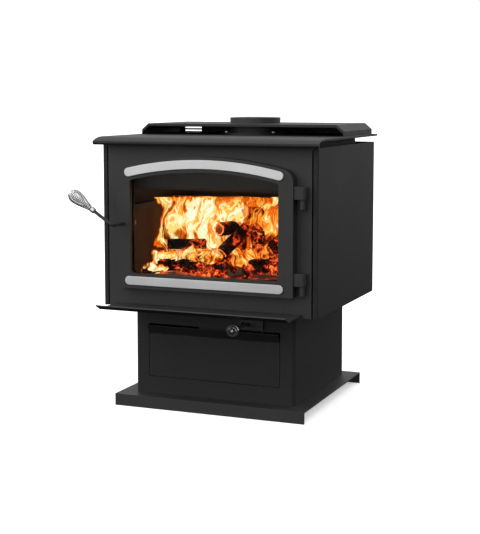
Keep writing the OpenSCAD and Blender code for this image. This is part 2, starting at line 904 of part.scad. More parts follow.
// Pins pressed in the knuckles, on which the door's blocks turn
module hinge_pins() {
  color("#9a9c9e") for (z = hinge_z)
    translate([pin_x, pin_y, z - clear - knuckle_h + 3])
      cylinder(r = pin_r, h = knuckle_h - 3 + clear + hinge_h - 6);
}

// Wear block beside the latch slot, which the cam pulls against
module latch_keeper() {
  color("#5a5a5c")
    block([keeper_x[0], body_y - 4, handle_z - 30], [keeper_x[1], body_y, handle_z + 38]);
}

// Two small angles that hold the damper plate under the body floor
module damper_guides() {
  y0 = pedestal_y + sheet_t + 3;
  y1 = damper_y[1] + 64;
  color("#77797c") for (s = [0, 1])
    translate([air_x, 0, 0]) mirror([s, 0, 0]) along_y(y0, y1)
      polygon([
        [33, pedestal_top], [36, pedestal_top], [36, damper_z0 - clear - 3],
        [28, damper_z0 - clear - 3], [28, damper_z0 - clear], [33, damper_z0 - clear]
      ]);
}

// Folded bracket in front of the pedestal with a slot for the air control rod
module air_guide() {
  color("#39393a") difference() {
    block([guide_x[0], guide_y, guide_z[0]], [guide_x[1], pedestal_y, guide_z[1]]);
    block(
      [guide_x[0] + sheet_t, guide_y + sheet_t, guide_z[0] - over],
      [guide_x[1] - sheet_t, pedestal_y + over, guide_z[1] - sheet_t]
    );
    along_y(guide_y - over, guide_y + sheet_t + over)
      translate([air_x, air_z]) slot_outline(32, 2 * air_r + 4);
  }
}

// ---- Door ----

// Cast door frame: face, rope channel, handle boss and glass opening
module door_frame() {
  color("#373738") difference() {
    union() {
      along_y(door_face, door_back) polygon(arch_panel(0, corner_r, 5));
      along_y(door_back, rope_floor) door_ring(0, skirt_t + rope_w + rib_t);
      along_y(rope_floor, body_y - 3) door_ring(0, skirt_t);
      along_y(rope_floor, body_y - 5) door_ring(skirt_t + rope_w, skirt_t + rope_w + rib_t);
      bar_y(handle_x, handle_z, boss_r, door_back, body_y - 7);
    }
    along_y(door_face - over, door_back + over) polygon(arch_panel(frame_w + 1, corner_r, 12));
    bar_y(handle_x, handle_z, rod_r + running, door_face - over, body_y);
    for (p = clip_places()) clip_at(p) clip_screw_shank();
  }
}

// Band of the door's outline between two insets
module door_ring(a, b) {
  difference() {
    polygon(arch_panel(a, corner_r, 5));
    polygon(arch_panel(b, corner_r, 5));
  }
}

// Blocks on the door's right edge that turn on the pins
module door_hinge_blocks() {
  color("#39393a") for (z = hinge_z) difference() {
    union() {
      translate([pin_x, pin_y, z]) cylinder(r = block_r, h = hinge_h);
      block([door_hw, pin_y - block_r, z], [pin_x, pin_y + block_r, z + hinge_h]);
    }
    translate([pin_x, pin_y, z - over]) cylinder(r = pin_r + running, h = hinge_h - 5 + over);
  }
}

// Ceramic glass behind the frame
module door_glass() {
  color([0.25, 0.2, 0.18, 0.35]) along_y(glass_y, glass_back)
    polygon(arch_panel(frame_w + 1 - glass_lap, corner_r, 12));
}

// Flat woven tape between glass and frame
module glass_tape() {
  color("#2b2b2b") along_y(door_back, glass_y) difference() {
    polygon(arch_panel(frame_w + 1 - glass_lap, corner_r, 12));
    polygon(arch_panel(frame_w + 0.5, corner_r, 12));
  }
}

// Places of the glass clips: x, z and the turn that points the clip at the glass
function clip_places() =
  let (
    edge = frame_w + 1,
    hw = door_hw - edge,
    lean = asin(120 / (arch_r - edge)),
    top_z = arch_at(edge, 120)
  )
  concat(
    [for (s = [-1, 1]) [s * 120, top_z, -s * lean]],
    [for (s = [-1, 1]) [s * 120, door_z0 + edge, 180]],
    [for (s = [-1, 1], dz = [-70, 55]) [s * hw, handle_z + dz, -s * 90]]
  );

// Carries a clip drawn with the glass below it, its seat on the frame above
module clip_at(p) {
  translate([p[0], door_back, p[1]]) rotate([0, -p[2], 0]) children();
}

module clip_screw_shank() {
  translate([0, -6, 16]) rotate([-90, 0, 0]) cylinder(r = 2, h = 20);
}

// Bent clips that press the glass against its tape
module glass_clips() {
  lift = tape_t + glass_t;
  color("#77797c") for (p = clip_places()) clip_at(p) difference() {
    union() {
      block([-8, 0, glass_lap + 1], [8, lift + clip_t, 22]);
      block([-8, lift, 3], [8, lift + clip_t, 22]);
    }
    clip_screw_shank();
  }
}

// Pan-head screws of the glass clips
module clip_screws() {
  seat = tape_t + glass_t + clip_t;
  color("#8a8c8e") for (p = clip_places()) clip_at(p) {
    translate([0, -6, 16]) rotate([-90, 0, 0]) cylinder(r = 2, h = 6 + seat);
    translate([0, seat, 16]) rotate([-90, 0, 0]) cylinder(r = 3.4, h = 1.5);
  }
}

// Glass-fibre rope in the door's channel
module door_rope() {
  color("#4a4a48") along_y(rope_floor, body_y - clear) door_ring(skirt_t, skirt_t + rope_w);
}

// Arched trim bar, concentric with the door's top
module top_bar() {
  r = bar_w / 2;
  mid = arch_r - bar_inset - r;
  reach = asin((door_hw - 27.5 - r) / mid);
  color("#c4c4c6") along_y(door_face - bar_t, door_face)
    polygon(concat(
      arc([0, arch_z], mid + r, 90 - reach, 90 + reach, 40),
      arc([0, arch_z] + mid * [cos(90 + reach), sin(90 + reach)], r, 90 + reach, 270 + reach, 16),
      arc([0, arch_z], mid - r, 90 + reach, 90 - reach, 40),
      arc([0, arch_z] + mid * [cos(90 - reach), sin(90 - reach)], r, -90 - reach, 90 - reach, 16)
    ));
}

// Straight trim bar along the door's lower edge
module bottom_bar() {
  color("#c4c4c6") along_y(door_face - bar_t, door_face)
    translate([0, door_z0 + bar_inset + 2 + bar_w / 2])
      slot_outline(2 * (door_hw - 27.5), bar_w);
}

// ---- Handle and latch ----

// Carries the arm's own frame: +X along the arm, Y as on the stove
module handle_frame() {
  translate([handle_x, 0, handle_z]) rotate([0, arm_tilt - 180, 0]) children();
}

// Bent rod: latch shaft through the door, elbow and arm
module handle_rod() {
  color("#2d2d2e") handle_frame() {
    bar_y(0, 0, rod_r, arm_y + elbow_r, cam_y + cam_t + 8);
    translate([elbow_r, arm_y + elbow_r, 0]) rotate([0, 0, 180])
      rotate_extrude(angle = 90) translate([elbow_r, 0]) circle(r = rod_r);
    translate([elbow_r, arm_y, 0]) rotate([0, 90, 0])
      cylinder(r = rod_r, h = arm_len - elbow_r - 3 * wire_r);
  }
}

// Small collar that stops the coil
module handle_ferrule() {
  color("#9a9c9e") handle_frame() translate([grip_x0 - ferrule_len, arm_y, 0]) rotate([0, 90, 0])
    difference() {
      cylinder(r = rod_r + 3.25, h = ferrule_len);
      translate([0, 0, -over]) cylinder(r = rod_r, h = ferrule_len + 2 * over);
    }
}

// Chrome coil grip, wound as a teardrop
module handle_coil() {
  steps = 14 * grip_turns;
  rad = [for (i = [0:steps]) teardrop(i / steps, rod_r + wire_r + 0.4, grip_r - wire_r)];
  color("#c8c8ca") handle_frame() translate([grip_x0, arm_y, 0])
    wound_wire(grip_len, grip_turns, rad, wire_r);
}

// Cam on the shaft's inner end, which hooks behind the keeper's strip
module latch_cam() {
  color("#5a5a5c") translate([handle_x, 0, handle_z]) along_y(cam_y, cam_y + cam_t) difference() {
    union() {
      circle(r = cam_hub_r);
      translate([0, -cam_hw]) square([cam_reach, 2 * cam_hw]);
    }
    circle(r = rod_r);
  }
}

// Hexagon nut that holds the cam
module latch_nut() {
  y0 = cam_y + cam_t;
  color("#8a8c8e") translate([handle_x, y0, handle_z]) rotate([-90, 0, 0]) difference() {
    cylinder(r = latch_nut_r, h = 6, $fn = 6);
    translate([0, 0, -over]) cylinder(r = rod_r, h = 6 + 2 * over);
  }
}

// ---- Air control ----

module air_rod() {
  color("#8a8c8e") bar_y(air_x, air_z, air_r, knob_y0 + 3 * wire_r, damper_y[1] - 14);
}

// Chrome coil knob on the rod's front end
module air_knob() {
  steps = 14 * knob_turns;
  rad = [for (i = [0:steps]) teardrop(1 - i / steps, air_r + wire_r + 0.4, knob_r - wire_r)];
  color("#c8c8ca") translate([air_x, knob_y0, air_z]) rotate([0, 0, 90])
    wound_wire(knob_len, knob_turns, rad, wire_r);
}

// Sliding plate under the body floor, on a tab at the rod's rear end
module damper_plate() {
  color("#77797c") union() {
    block([damper_x[0], damper_y[0], damper_z0], [damper_x[1], damper_y[1], damper_z1]);
    block([air_x - 7, damper_y[1] - 14, air_z - 7], [air_x + 7, damper_y[1] - 11, damper_z0]);
  }
}

// ---- Ash drawer ----

// Drawer front: a flat sheet whose top leans out as a pull lip
module drawer_front() {
  color("#39393a") along_x(-drawer_hw, drawer_hw)
    polygon(sheet(
      [
        [pedestal_y, drawer_z0], [pedestal_y, lip_z], [pedestal_y - lip_out, drawer_top]
      ],
      -sheet_t
    ));
}

// Folded pan, open at the top
module drawer_pan() {
  y0 = pedestal_y + sheet_t;
  color("#6a6c6f") difference() {
    block([-pan_hw, y0, pan_z0], [pan_hw, y0 + pan_d, pan_z1]);
    block(
      [-pan_hw + pan_t, y0 + pan_t, pan_z0 + pan_t],
      [pan_hw - pan_t, y0 + pan_d - pan_t, pan_z1 + over]
    );
  }
}

// ---- Ash plug ----

// Cast plug with a lifting bar across the recess in its top
module ash_plug() {
  z0 = floor_z1 + clear;
  rim = 14;
  color("#4c4742") translate([0, plug_y, 0]) union() {
    difference() {
      union() {
        translate([0, 0, floor_z0 - 2]) cylinder(r = plug_neck_r, h = 20);
        translate([0, 0, z0]) cylinder(r = plug_r, h = brick_t - 4);
      }
      translate([0, 0, z0 + rim]) cylinder(r = plug_r - 8, h = brick_t);
    }
    translate([0, 0, z0 + brick_t - 9]) rotate([0, 90, 0])
      cylinder(r = 4, h = 2 * (plug_r - 6), center = true);
  }
}

base_plate();
pedestal_shell();
pedestal_back();
drawer_runners();
body_floor();
firebox_sides();
firebox_back_plate();
firebox_roof();
firebox_floor();
front_plate();
side_jacket_left();
side_jacket_right();
rear_shield();
jacket_standoffs();
top_plate();
convection_deck();
deck_back_panel();
flue_collar();
collar_flange();
collar_bolts();
ash_shelf();
shelf_screws();
ash_chute();
floor_bricks();
plug_brick();
left_bricks();
right_bricks();
rear_bricks();
brick_retainers();
airwash_deflector();
tube_manifolds();
secondary_tubes();
baffle_boards();
hinge_brackets();
hinge_pins();
latch_keeper();
damper_guides();
air_guide();
door_frame();
door_hinge_blocks();
door_glass();
glass_tape();
glass_clips();
clip_screws();
door_rope();
top_bar();
bottom_bar();
handle_rod();
handle_ferrule();
handle_coil();
latch_cam();
latch_nut();
air_rod();
air_knob();
damper_plate();
drawer_front();
drawer_pan();
ash_plug();
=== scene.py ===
import json
import math

import bmesh
import bpy
from mathutils import Matrix, Vector, noise

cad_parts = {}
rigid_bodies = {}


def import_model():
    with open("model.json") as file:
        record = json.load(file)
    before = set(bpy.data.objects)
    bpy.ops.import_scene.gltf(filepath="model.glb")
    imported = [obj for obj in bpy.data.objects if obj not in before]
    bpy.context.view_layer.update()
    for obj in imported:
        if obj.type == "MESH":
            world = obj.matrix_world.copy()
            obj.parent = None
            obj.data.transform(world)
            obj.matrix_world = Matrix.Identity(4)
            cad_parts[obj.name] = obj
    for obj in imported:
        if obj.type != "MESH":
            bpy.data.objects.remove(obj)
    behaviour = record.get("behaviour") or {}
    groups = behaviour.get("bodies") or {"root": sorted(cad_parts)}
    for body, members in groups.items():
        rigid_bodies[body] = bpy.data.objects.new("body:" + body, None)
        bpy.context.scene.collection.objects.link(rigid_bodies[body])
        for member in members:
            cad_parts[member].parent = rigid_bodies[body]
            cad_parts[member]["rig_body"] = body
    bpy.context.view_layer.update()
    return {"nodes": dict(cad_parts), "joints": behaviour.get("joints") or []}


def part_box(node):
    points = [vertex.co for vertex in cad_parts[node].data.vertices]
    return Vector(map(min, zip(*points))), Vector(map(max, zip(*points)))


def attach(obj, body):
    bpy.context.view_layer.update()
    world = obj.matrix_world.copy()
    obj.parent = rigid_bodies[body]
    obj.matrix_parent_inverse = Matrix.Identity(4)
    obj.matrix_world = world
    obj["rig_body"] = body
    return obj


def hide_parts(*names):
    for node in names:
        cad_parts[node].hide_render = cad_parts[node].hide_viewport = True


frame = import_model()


# ---------------------------------------------------------------------------
# Base plate and pedestal
# Folded sheet steel under high-heat charcoal paint. The plate's front and rear edges turn down
# to the floor, and the pedestal is welded on it as one bent sheet with a flat back panel.
# ---------------------------------------------------------------------------
class Socket:
    """One output in a node tree. Arithmetic on it adds Math nodes beside it."""

    def __init__(self, tree, out=None):
        self.tree = tree
        self.out = out

    def node(self, kind, settings=None, values=None, give=0):
        """Adds a node: its settings first, then what its inputs hold or read, and gives one output."""
        made = self.tree.nodes.new(kind)
        for name, setting in (settings or {}).items():
            if name == "stops":
                ramp = made.color_ramp.elements
                while len(ramp) < len(setting):
                    ramp.new(1.0)
                for stop, (place, colour) in zip(ramp, setting):
                    stop.position = place
                    stop.color = (*colour, 1.0)
            else:
                setattr(made, name, setting)
        for name, value in (values or {}).items():
            if isinstance(value, Socket):
                self.tree.links.new(value.out, made.inputs[name])
            else:
                made.inputs[name].default_value = value
        return Socket(self.tree, made.outputs[give] if len(made.outputs) else None)

    def maths(self, operation, *terms):
        """Any Math node, over terms that are sockets or plain numbers."""
        return self.node("ShaderNodeMath", {"operation": operation}, dict(enumerate(terms)))

    def __add__(self, other):
        return self.maths("ADD", self, other)

    __radd__ = __add__

    def __sub__(self, other):
        return self.maths("SUBTRACT", self, other)

    def __rsub__(self, other):
        return self.maths("SUBTRACT", other, self)

    def __mul__(self, other):
        return self.maths("MULTIPLY", self, other)

    __rmul__ = __mul__

    def __truediv__(self, other):
        return self.maths("DIVIDE", self, other)

    def __pow__(self, other):
        return self.maths("POWER", self, other)

    def at_least(self, floor):
        return self.maths("MAXIMUM", self, floor)

    def at_most(self, ceiling):
        return self.maths("MINIMUM", self, ceiling)

    def unsigned(self):
        return self.maths("ABSOLUTE", self)

    def along(self, axis):
        """How far this vector reaches along axis 0, 1 or 2."""
        return self.node("ShaderNodeSeparateXYZ", None, {"Vector": self}, axis)

    def stored(self, name):
        """A number kept on the mesh under this name."""
        return self.node("ShaderNodeAttribute", {"attribute_name": name}, None, 2)

    def step(self, low, high):
        """0 below low, 1 above high and a smooth rise between them."""
        return self.node(
            "ShaderNodeMapRange", {"interpolation_type": "SMOOTHSTEP"},
            {"Value": self, "From Min": low, "From Max": high},
        )

    def blend(self, colour_a, colour_b):
        """colour_a where this is 0, colour_b where it is 1."""
        return self.node("ShaderNodeMix", {"data_type": "RGBA"}, {0: self, 6: colour_a, 7: colour_b}, 2)

    def ramp(self, stops):
        return self.node("ShaderNodeValToRGB", {"stops": stops}, {"Fac": self})

    def clouds(self, scale, detail=3.0, roughness=0.5, distortion=0.0, stretch=None):
        """Noise over this place, pulled out along the axes where stretch is small."""
        place = self
        if stretch:
            place = self.node("ShaderNodeMapping", None, {"Vector": self, "Scale": stretch})
        return self.node(
            "ShaderNodeTexNoise", None,
            {"Vector": place, "Scale": scale, "Detail": detail, "Roughness": roughness,
             "Distortion": distortion},
        )

    def bump(self, distance, strength=1.0):
        return self.node(
            "ShaderNodeBump", None, {"Height": self, "Distance": distance, "Strength": strength})


def grey(level, warmth=0.0):
    return (level * (1 + warmth), level, level * (1 - warmth), 1.0)


def finish(name, look):
    """A material whose Principled shader holds what look gives for a place on the piece."""
    made = bpy.data.materials.new(name)
    made.use_nodes = True
    made.node_tree.nodes.clear()
    start = Socket(made.node_tree)
    values = look(start, start.node("ShaderNodeTexCoord", give="Object"))
    shader = start.node("ShaderNodeBsdfPrincipled", None, values)
    start.node("ShaderNodeOutputMaterial", None, {"Surface": shader})
    return made


def stove_paint(name, tone, grain, peel_depth, sheen):
    """High-heat paint: satin, a little cloudy, finely pebbled, and rubbed along the edges."""
    def look(start, place):
        cloud = place.clouds(7.0, 3.0, 0.55)
        peel = place.clouds(grain, 2.0, 0.6)
        speck = place.clouds(grain * 2.3, 1.0).step(0.62, 0.74)
        scuff = place.clouds(60.0, 4.0, 0.7).step(0.42, 0.62)
        worn = start.stored("worn")
        rub = worn * (0.25 + 0.75 * scuff)
        body = cloud.blend(grey(tone * 0.82, 0.02), grey(tone * 1.2, 0.015))
        flecked = (speck * 0.35).blend(body, grey(tone * 2.2))
        return {
            "Base Color": (rub * 0.6).blend(flecked, grey(tone * 4.5, 0.02)),
            "Roughness": 0.5 + 0.12 * cloud + 0.08 * speck - 0.14 * rub,
            "Metallic": rub * 0.25,
            "Specular IOR Level": sheen,
            "Normal": peel.bump(peel_depth, 0.55),
        }
    return finish(name, look)


def dressed(node, material, edge=0.0008):
    """Stands for a CAD node with the same shape, its edges eased by a small round."""
    shape = bmesh.new()
    shape.from_mesh(frame["nodes"][node].data)
    worn = shape.faces.layers.float.new("worn")
    bmesh.ops.remove_doubles(shape, verts=shape.verts, dist=1e-5)
    flat = math.radians(0.6)
    bmesh.ops.dissolve_limit(shape, angle_limit=flat, verts=shape.verts, edges=shape.edges)
    sharp = [e for e in shape.edges if len(e.link_faces) == 2 and e.calc_face_angle(0) > math.radians(32)]
    eased = bmesh.ops.bevel(
        shape, geom=sharp, offset=edge, offset_type="OFFSET", segments=2, profile=0.5,
        affect="EDGES", clamp_overlap=True,
    )
    for face in eased["faces"]:
        face[worn] = 1.0
    for face in shape.faces:
        face.smooth = True
    mesh = bpy.data.meshes.new(node + "_finished")
    shape.to_mesh(mesh)
    shape.free()
    mesh.materials.append(material)
    piece = bpy.data.objects.new(mesh.name, mesh)
    bpy.context.scene.collection.objects.link(piece)
    piece.modifiers.new("flat_faces", "WEIGHTED_NORMAL").keep_sharp = True
    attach(piece, frame["nodes"][node]["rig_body"])
    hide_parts(node)
    return piece


satin_paint = stove_paint("satin_stove_paint", 0.0155, 750.0, 0.00012, 0.34)
# A darker, less glossy copy of the satin paint for the pedestal, side jackets, rear shield and drawer
# front: painted shade on the lower and side parts.
shade_darkened_paint = stove_paint("matt_stove_paint", 0.0115, 700.0, 0.00014, 0.2)
dressed("base_plate", satin_paint, 0.0012)
# The pedestal takes the darker copy of the paint: painted shade.
dressed("pedestal_shell", shade_darkened_paint)
dressed("pedestal_back", shade_darkened_paint)


# ---------------------------------------------------------------------------
# Drawer runners, damper guides and stand-offs
# Small brackets and spacers inside the stove. They are galvanised steel, spot welded in place,
# and keep the pale crystal pattern of the zinc.
# ---------------------------------------------------------------------------
def galvanised_look(start, place):
    spangle = place.node("ShaderNodeTexVoronoi", None, {"Vector": place, "Scale": 130.0}, 1)
    tint = spangle.node("ShaderNodeSeparateColor", None, {"Color": spangle})
    dust = place.clouds(24.0, 5.0, 0.65)
    return {
        "Base Color": (tint * 0.6 + dust * 0.3).blend(grey(0.22, -0.02), grey(0.5, -0.03)),
        "Metallic": 1.0 - 0.4 * dust.step(0.5, 0.75),
        "Roughness": 0.38 + 0.2 * tint + 0.15 * dust,
        "Normal": place.clouds(420.0).bump(0.00004, 0.5),
    }


galvanised = finish("galvanised_sheet", galvanised_look)
for node in ("drawer_runners", "damper_guides", "jacket_standoffs"):
    dressed(node, galvanised, 0.0004)


# ---------------------------------------------------------------------------
# Body floor, firebox plates and front plate
# The firebox is welded from thick plate. Outside it is painted; inside, the fire has burnt the
# paint off and left scale, soot and a dull brown bloom.
# ---------------------------------------------------------------------------
def scorched_look(start, place):
    soot = place.clouds(9.0, 6.0, 0.65)
    scale = place.clouds(85.0, 5.0, 0.7)
    bloom = place.clouds(5.0, 3.0, 0.5, 0.6).step(0.48, 0.7)
    ground = soot.blend(grey(0.012, 0.05), grey(0.06, 0.12))
    return {
        "Base Color": (bloom * 0.6).blend(ground, (0.085, 0.045, 0.026, 1.0)),
        "Roughness": 0.62 + 0.3 * scale,
        "Metallic": 0.35 * scale.step(0.55, 0.8),
        "Specular IOR Level": 0.3,
        "Normal": scale.bump(0.0004, 0.6),
    }


scorched = finish("scorched_plate", scorched_look)
dressed("body_floor", satin_paint, 0.0006)
for node in ("firebox_sides", "firebox_back_plate", "firebox_roof", "firebox_floor", "ash_chute"):
    dressed(node, scorched, 0.0005)
dressed("front_plate", satin_paint, 0.0007)


# ---------------------------------------------------------------------------
# Side jackets and rear shield
# Thin sheet jackets folded around the front corners and the back, standing clear of the hot
# plates. The rear shield closes the back between them and is slotted for cooling air.
# ---------------------------------------------------------------------------
# The jackets and rear shield take the darker copy of the paint: painted shade.
dressed("side_jacket_left", shade_darkened_paint, 0.0006)
dressed("side_jacket_right", shade_darkened_paint, 0.0006)
dressed("rear_shield", shade_darkened_paint, 0.0004)


# ---------------------------------------------------------------------------
# Top plate and raised deck
# The cook top is heavy plate with its front edge rolled down. The deck over its rear half is a
# folded tunnel that lets warm air out at the front; its back panel closes it.
# ---------------------------------------------------------------------------
# A slightly darker, less glossy copy of the satin paint for the top plate and deck: painted shade that
# holds down the light falling on the top from above.
darkened_top_paint = stove_paint("top_stove_paint", 0.0135, 620.0, 0.00014, 0.26)
dressed("top_plate", darkened_top_paint, 0.0013)
dressed("convection_deck", darkened_top_paint, 0.0006)
dressed("deck_back_panel", darkened_top_paint, 0.0004)


# ---------------------------------------------------------------------------
# Flue collar and its bolts
# A rolled spigot welded in a round flange under the deck. Three hexagon bolts with washer faces
# hold the flange through the top plate and the firebox roof.
# ---------------------------------------------------------------------------
def cast_look(start, place):
    sand = place.clouds(300.0, 4.0, 0.7)
    swell = place.clouds(26.0, 3.0, 0.5)
    worn = start.stored("worn")
    rub = worn * (0.2 + 0.8 * place.clouds(70.0, 4.0, 0.7).step(0.4, 0.65))
    body = swell.blend(grey(0.0095, 0.02), grey(0.0165, 0.02))
    return {
        "Base Color": (rub * 0.6).blend(body, grey(0.06, 0.02)),
        "Roughness": 0.47 + 0.16 * sand - 0.1 * rub,
        "Metallic": rub * 0.3,
        "Specular IOR Level": 0.36,
        "Normal": (0.7 * sand + 0.6 * swell).bump(0.00035, 0.5),
    }


def zinc_look(start, place):
    lathe = place.clouds(700.0, 2.0, 0.5)
    dull = place.clouds(180.0, 4.0, 0.7)
    return {
        "Base Color": dull.blend(grey(0.3, -0.02), grey(0.62, -0.01)),
        "Metallic": 1.0,
        "Roughness": 0.28 + 0.25 * dull,
        "Normal": lathe.bump(0.00003, 0.5),
    }


def grown(name, base, sizes, material, build):
    """Runs a Geometry Nodes tree with named sizes on base, and gives what it grew as a plain mesh."""
    tree = bpy.data.node_groups.new(name + "_tree", "GeometryNodeTree")
    tree.interface.new_socket("Geometry", in_out="INPUT", socket_type="NodeSocketGeometry")
    for label, size in sizes.items():
        kind = "NodeSocketInt" if isinstance(size, int) else "NodeSocketFloat"
        tree.interface.new_socket(label, in_out="INPUT", socket_type=kind)
    tree.interface.new_socket("Material", in_out="INPUT", socket_type="NodeSocketMaterial")
    tree.interface.new_socket("Geometry", in_out="OUTPUT", socket_type="NodeSocketGeometry")
    inlet = tree.nodes.new("NodeGroupInput")
    given = {out.name: Socket(tree, out) for out in inlet.outputs if out.name}
    shape = build(given)
    whole = shape.node("GeometryNodeRealizeInstances", None, {"Geometry": shape})
    painted = whole.node(
        "GeometryNodeSetMaterial", None, {"Geometry": whole, "Material": given["Material"]}
    )
    tree.links.new(painted.out, tree.nodes.new("NodeGroupOutput").inputs[0])
    piece = bpy.data.objects.new(name, base)
    grower = piece.modifiers.new("grow", "NODES")
    grower.node_group = tree
    for item in tree.interface.items_tree:
        if item.in_out == "INPUT" and item.name in sizes:
            grower[item.identifier] = sizes[item.name]
        elif item.in_out == "INPUT" and item.name == "Material":
            grower[item.identifier] = material
    bpy.context.scene.collection.objects.link(piece)
    bpy.context.view_layer.update()
    settled = piece.evaluated_get(bpy.context.evaluated_depsgraph_get())
    mesh = bpy.data.meshes.new_from_object(settled)
    piece.modifiers.remove(grower)
    mesh.name = name
    piece.data = mesh
    return piece


def points_at(name, places):
    spots = bpy.data.meshes.new(name)
    spots.from_pydata([tuple(p) for p in places], [], [])
    return spots


def hex_screw(given):
    """A hexagon head with a chamfered crown on a round washer face, one at each point."""
    start = given["Geometry"]
    across = given["Head radius"]
    tall = given["Head height"]

    def ring(sides, low, high, height, lift):
        cone = start.node("GeometryNodeMeshCone", None, {
            "Vertices": sides, "Radius Bottom": low, "Radius Top": high, "Depth": height,
        })
        shift = start.node("ShaderNodeCombineXYZ", None, {"Z": lift})
        return start.node("GeometryNodeTransform", None, {"Geometry": cone, "Translation": shift})

    washer = ring(32, across * 1.22, across * 1.1, tall * 0.22, 0.0)
    barrel = ring(6, across, across, tall * 0.55, tall * 0.2)
    crown = ring(6, across, across * 0.84, tall * 0.12, tall * 0.75)
    shank = ring(20, given["Shank radius"], given["Shank radius"], given["Shank length"],
                 0.0 - given["Shank length"])
    joined = start.node("GeometryNodeJoinGeometry")
    gather = joined.out.node
    for part in (washer, barrel, crown, shank):
        start.tree.links.new(part.out, gather.inputs[0])
    turn = start.node("ShaderNodeCombineXYZ", None, {
        "X": given["Tilt"], "Z": start.node("FunctionNodeRandomValue", {"data_type": "FLOAT"}, {
            2: 0.0, 3: 1.04, "Seed": 4}, 1),
    })
    return start.node("GeometryNodeInstanceOnPoints", None, {
        "Points": start, "Instance": joined, "Rotation": turn,
    })


cast_paint = finish("painted_casting", cast_look)
zinc = finish("zinc_plate", zinc_look)
dressed("flue_collar", cast_paint, 0.0009)
dressed("collar_flange", cast_paint, 0.0006)
collar_low, collar_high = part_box("flue_collar")
flange_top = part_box("collar_flange")[1].z
bolt_outside_collar = 0.012
bolt_circle = (collar_high.x - collar_low.x) / 2 + bolt_outside_collar
bolt_places = [
    (bolt_circle * math.cos(math.radians(a)),
     (collar_low.y + collar_high.y) / 2 + bolt_circle * math.sin(math.radians(a)),
     flange_top)
    for a in (90, 210, 330)
]
bolts = grown("collar_bolt_set", points_at("bolt_spots", bolt_places), {
    "Head radius": 0.0061, "Head height": 0.005, "Shank radius": 0.0039,
    "Shank length": 0.0155, "Tilt": 0.0,
}, zinc, hex_screw)
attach(bolts, "stove")
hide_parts("collar_bolts")


# ---------------------------------------------------------------------------
# Ash shelf
# A bent sheet below the door with its front edge turned up to catch ash. Three screws hold its
# short flange to the front plate.
# ---------------------------------------------------------------------------
dressed("ash_shelf", satin_paint, 0.0009)
screw_low, screw_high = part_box("shelf_screws")
washer_radius, head_height = 0.0032, 0.0016
screw_x = (screw_high.x - screw_low.x) / 2 - washer_radius
screw_z = (screw_low.z + screw_high.z) / 2
screw_places = [(x, screw_low.y + head_height, screw_z) for x in (-screw_x, 0.0, screw_x)]
shelf_screws = grown("shelf_screw_set", points_at("shelf_spots", screw_places), {
    "Head radius": 0.0026, "Head height": head_height, "Shank radius": 0.0019,
    "Shank length": 0.0029, "Tilt": math.radians(90),
}, zinc, hex_screw)
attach(shelf_screws, "stove")
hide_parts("shelf_screws")


# ---------------------------------------------------------------------------
# Firebricks and their ledges
# Pressed refractory bricks line the floor and three walls, laid dry. They are coarse brown clay,
# nearly black with soot, and steel ledges hold down the tops of the upright ones.
# ---------------------------------------------------------------------------
def brick_look(start, place):
    grit = place.clouds(210.0, 5.0, 0.75)
    pit = place.node("ShaderNodeTexVoronoi", None, {"Vector": place, "Scale": 160.0})
    soot = place.clouds(7.0, 5.0, 0.6)
    worn = start.stored("worn")
    clay = grit.ramp([
        (0.25, (0.03, 0.015, 0.008)), (0.5, (0.07, 0.034, 0.018)), (0.75, (0.13, 0.07, 0.04)),
    ])
    sooty = (soot.step(0.4, 0.68) * 0.75).blend(clay, (0.03, 0.022, 0.017, 1.0))
    return {
        "Base Color": (worn * 0.35).blend(sooty, (0.2, 0.13, 0.085, 1.0)),
        "Roughness": 0.86 + 0.1 * grit,
        "Specular IOR Level": 0.25,
        "Normal": (grit + 0.7 * pit.step(0.0, 0.35)).bump(0.0011, 0.7),
    }


firebrick = finish("sooty_firebrick", brick_look)
for node in ("floor_bricks", "plug_brick", "left_bricks", "right_bricks", "rear_bricks"):
    dressed(node, firebrick, 0.0016)
dressed("brick_retainers", scorched, 0.0005)


# ---------------------------------------------------------------------------
# Airwash deflector, secondary air tubes and baffle boards
# The deflector is a bent plate behind the top of the glass. Side ducts feed four stainless tubes,
# coloured by the heat, and pale fibre boards rest on them.
# ---------------------------------------------------------------------------
def tube_look(start, place):
    heat = (1 - place.along(0).unsigned() * 3.4) + (place.clouds(6.0, 3.0) - 0.5) * 0.7
    grain = place.clouds(90.0, 3.0, 0.6, 0.0, (0.05, 1.0, 1.0))
    return {
        "Base Color": heat.ramp([
            (0.05, (0.42, 0.4, 0.38)), (0.3, (0.4, 0.27, 0.12)), (0.5, (0.2, 0.09, 0.1)),
            (0.7, (0.06, 0.07, 0.16)), (0.9, (0.1, 0.09, 0.09)),
        ]),
        "Metallic": 0.85,
        "Roughness": 0.34 + 0.25 * grain,
        "Normal": grain.bump(0.00005, 0.4),
    }


def fibre_look(start, place):
    strands = place.clouds(260.0, 6.0, 0.8, 1.5)
    soot = place.clouds(6.0, 4.0, 0.6).step(0.35, 0.75)
    return {
        "Base Color": (soot * 0.8).blend((0.5, 0.45, 0.37, 1.0), (0.07, 0.06, 0.05, 1.0)),
        "Roughness": 0.9 + 0.08 * strands,
        "Specular IOR Level": 0.15,
        "Normal": strands.bump(0.0008, 0.7),
    }


heat_tinted = finish("heat_tinted_stainless", tube_look)
fibre = finish("sooty_fibre_board", fibre_look)
airwash_paint = stove_paint("airwash_paint", 0.03, 420.0, 0.00012, 0.3)
dressed("airwash_deflector", airwash_paint, 0.0006)
dressed("tube_manifolds", scorched, 0.0004)
dressed("secondary_tubes", heat_tinted, 0.0003)
dressed("baffle_boards", fibre, 0.0012)


# ---------------------------------------------------------------------------
# Hinge brackets, pins, latch keeper and rod guide
# Welded knuckles on the front plate carry steel pins. The keeper is a hardened block beside the
# latch slot, and the guide is a folded bracket around the air control rod.
# ---------------------------------------------------------------------------
dressed("hinge_brackets", satin_paint, 0.0009)
dressed("hinge_pins", zinc, 0.0005)
dressed("latch_keeper", scorched, 0.0007)
dressed("air_guide", satin_paint, 0.0006)


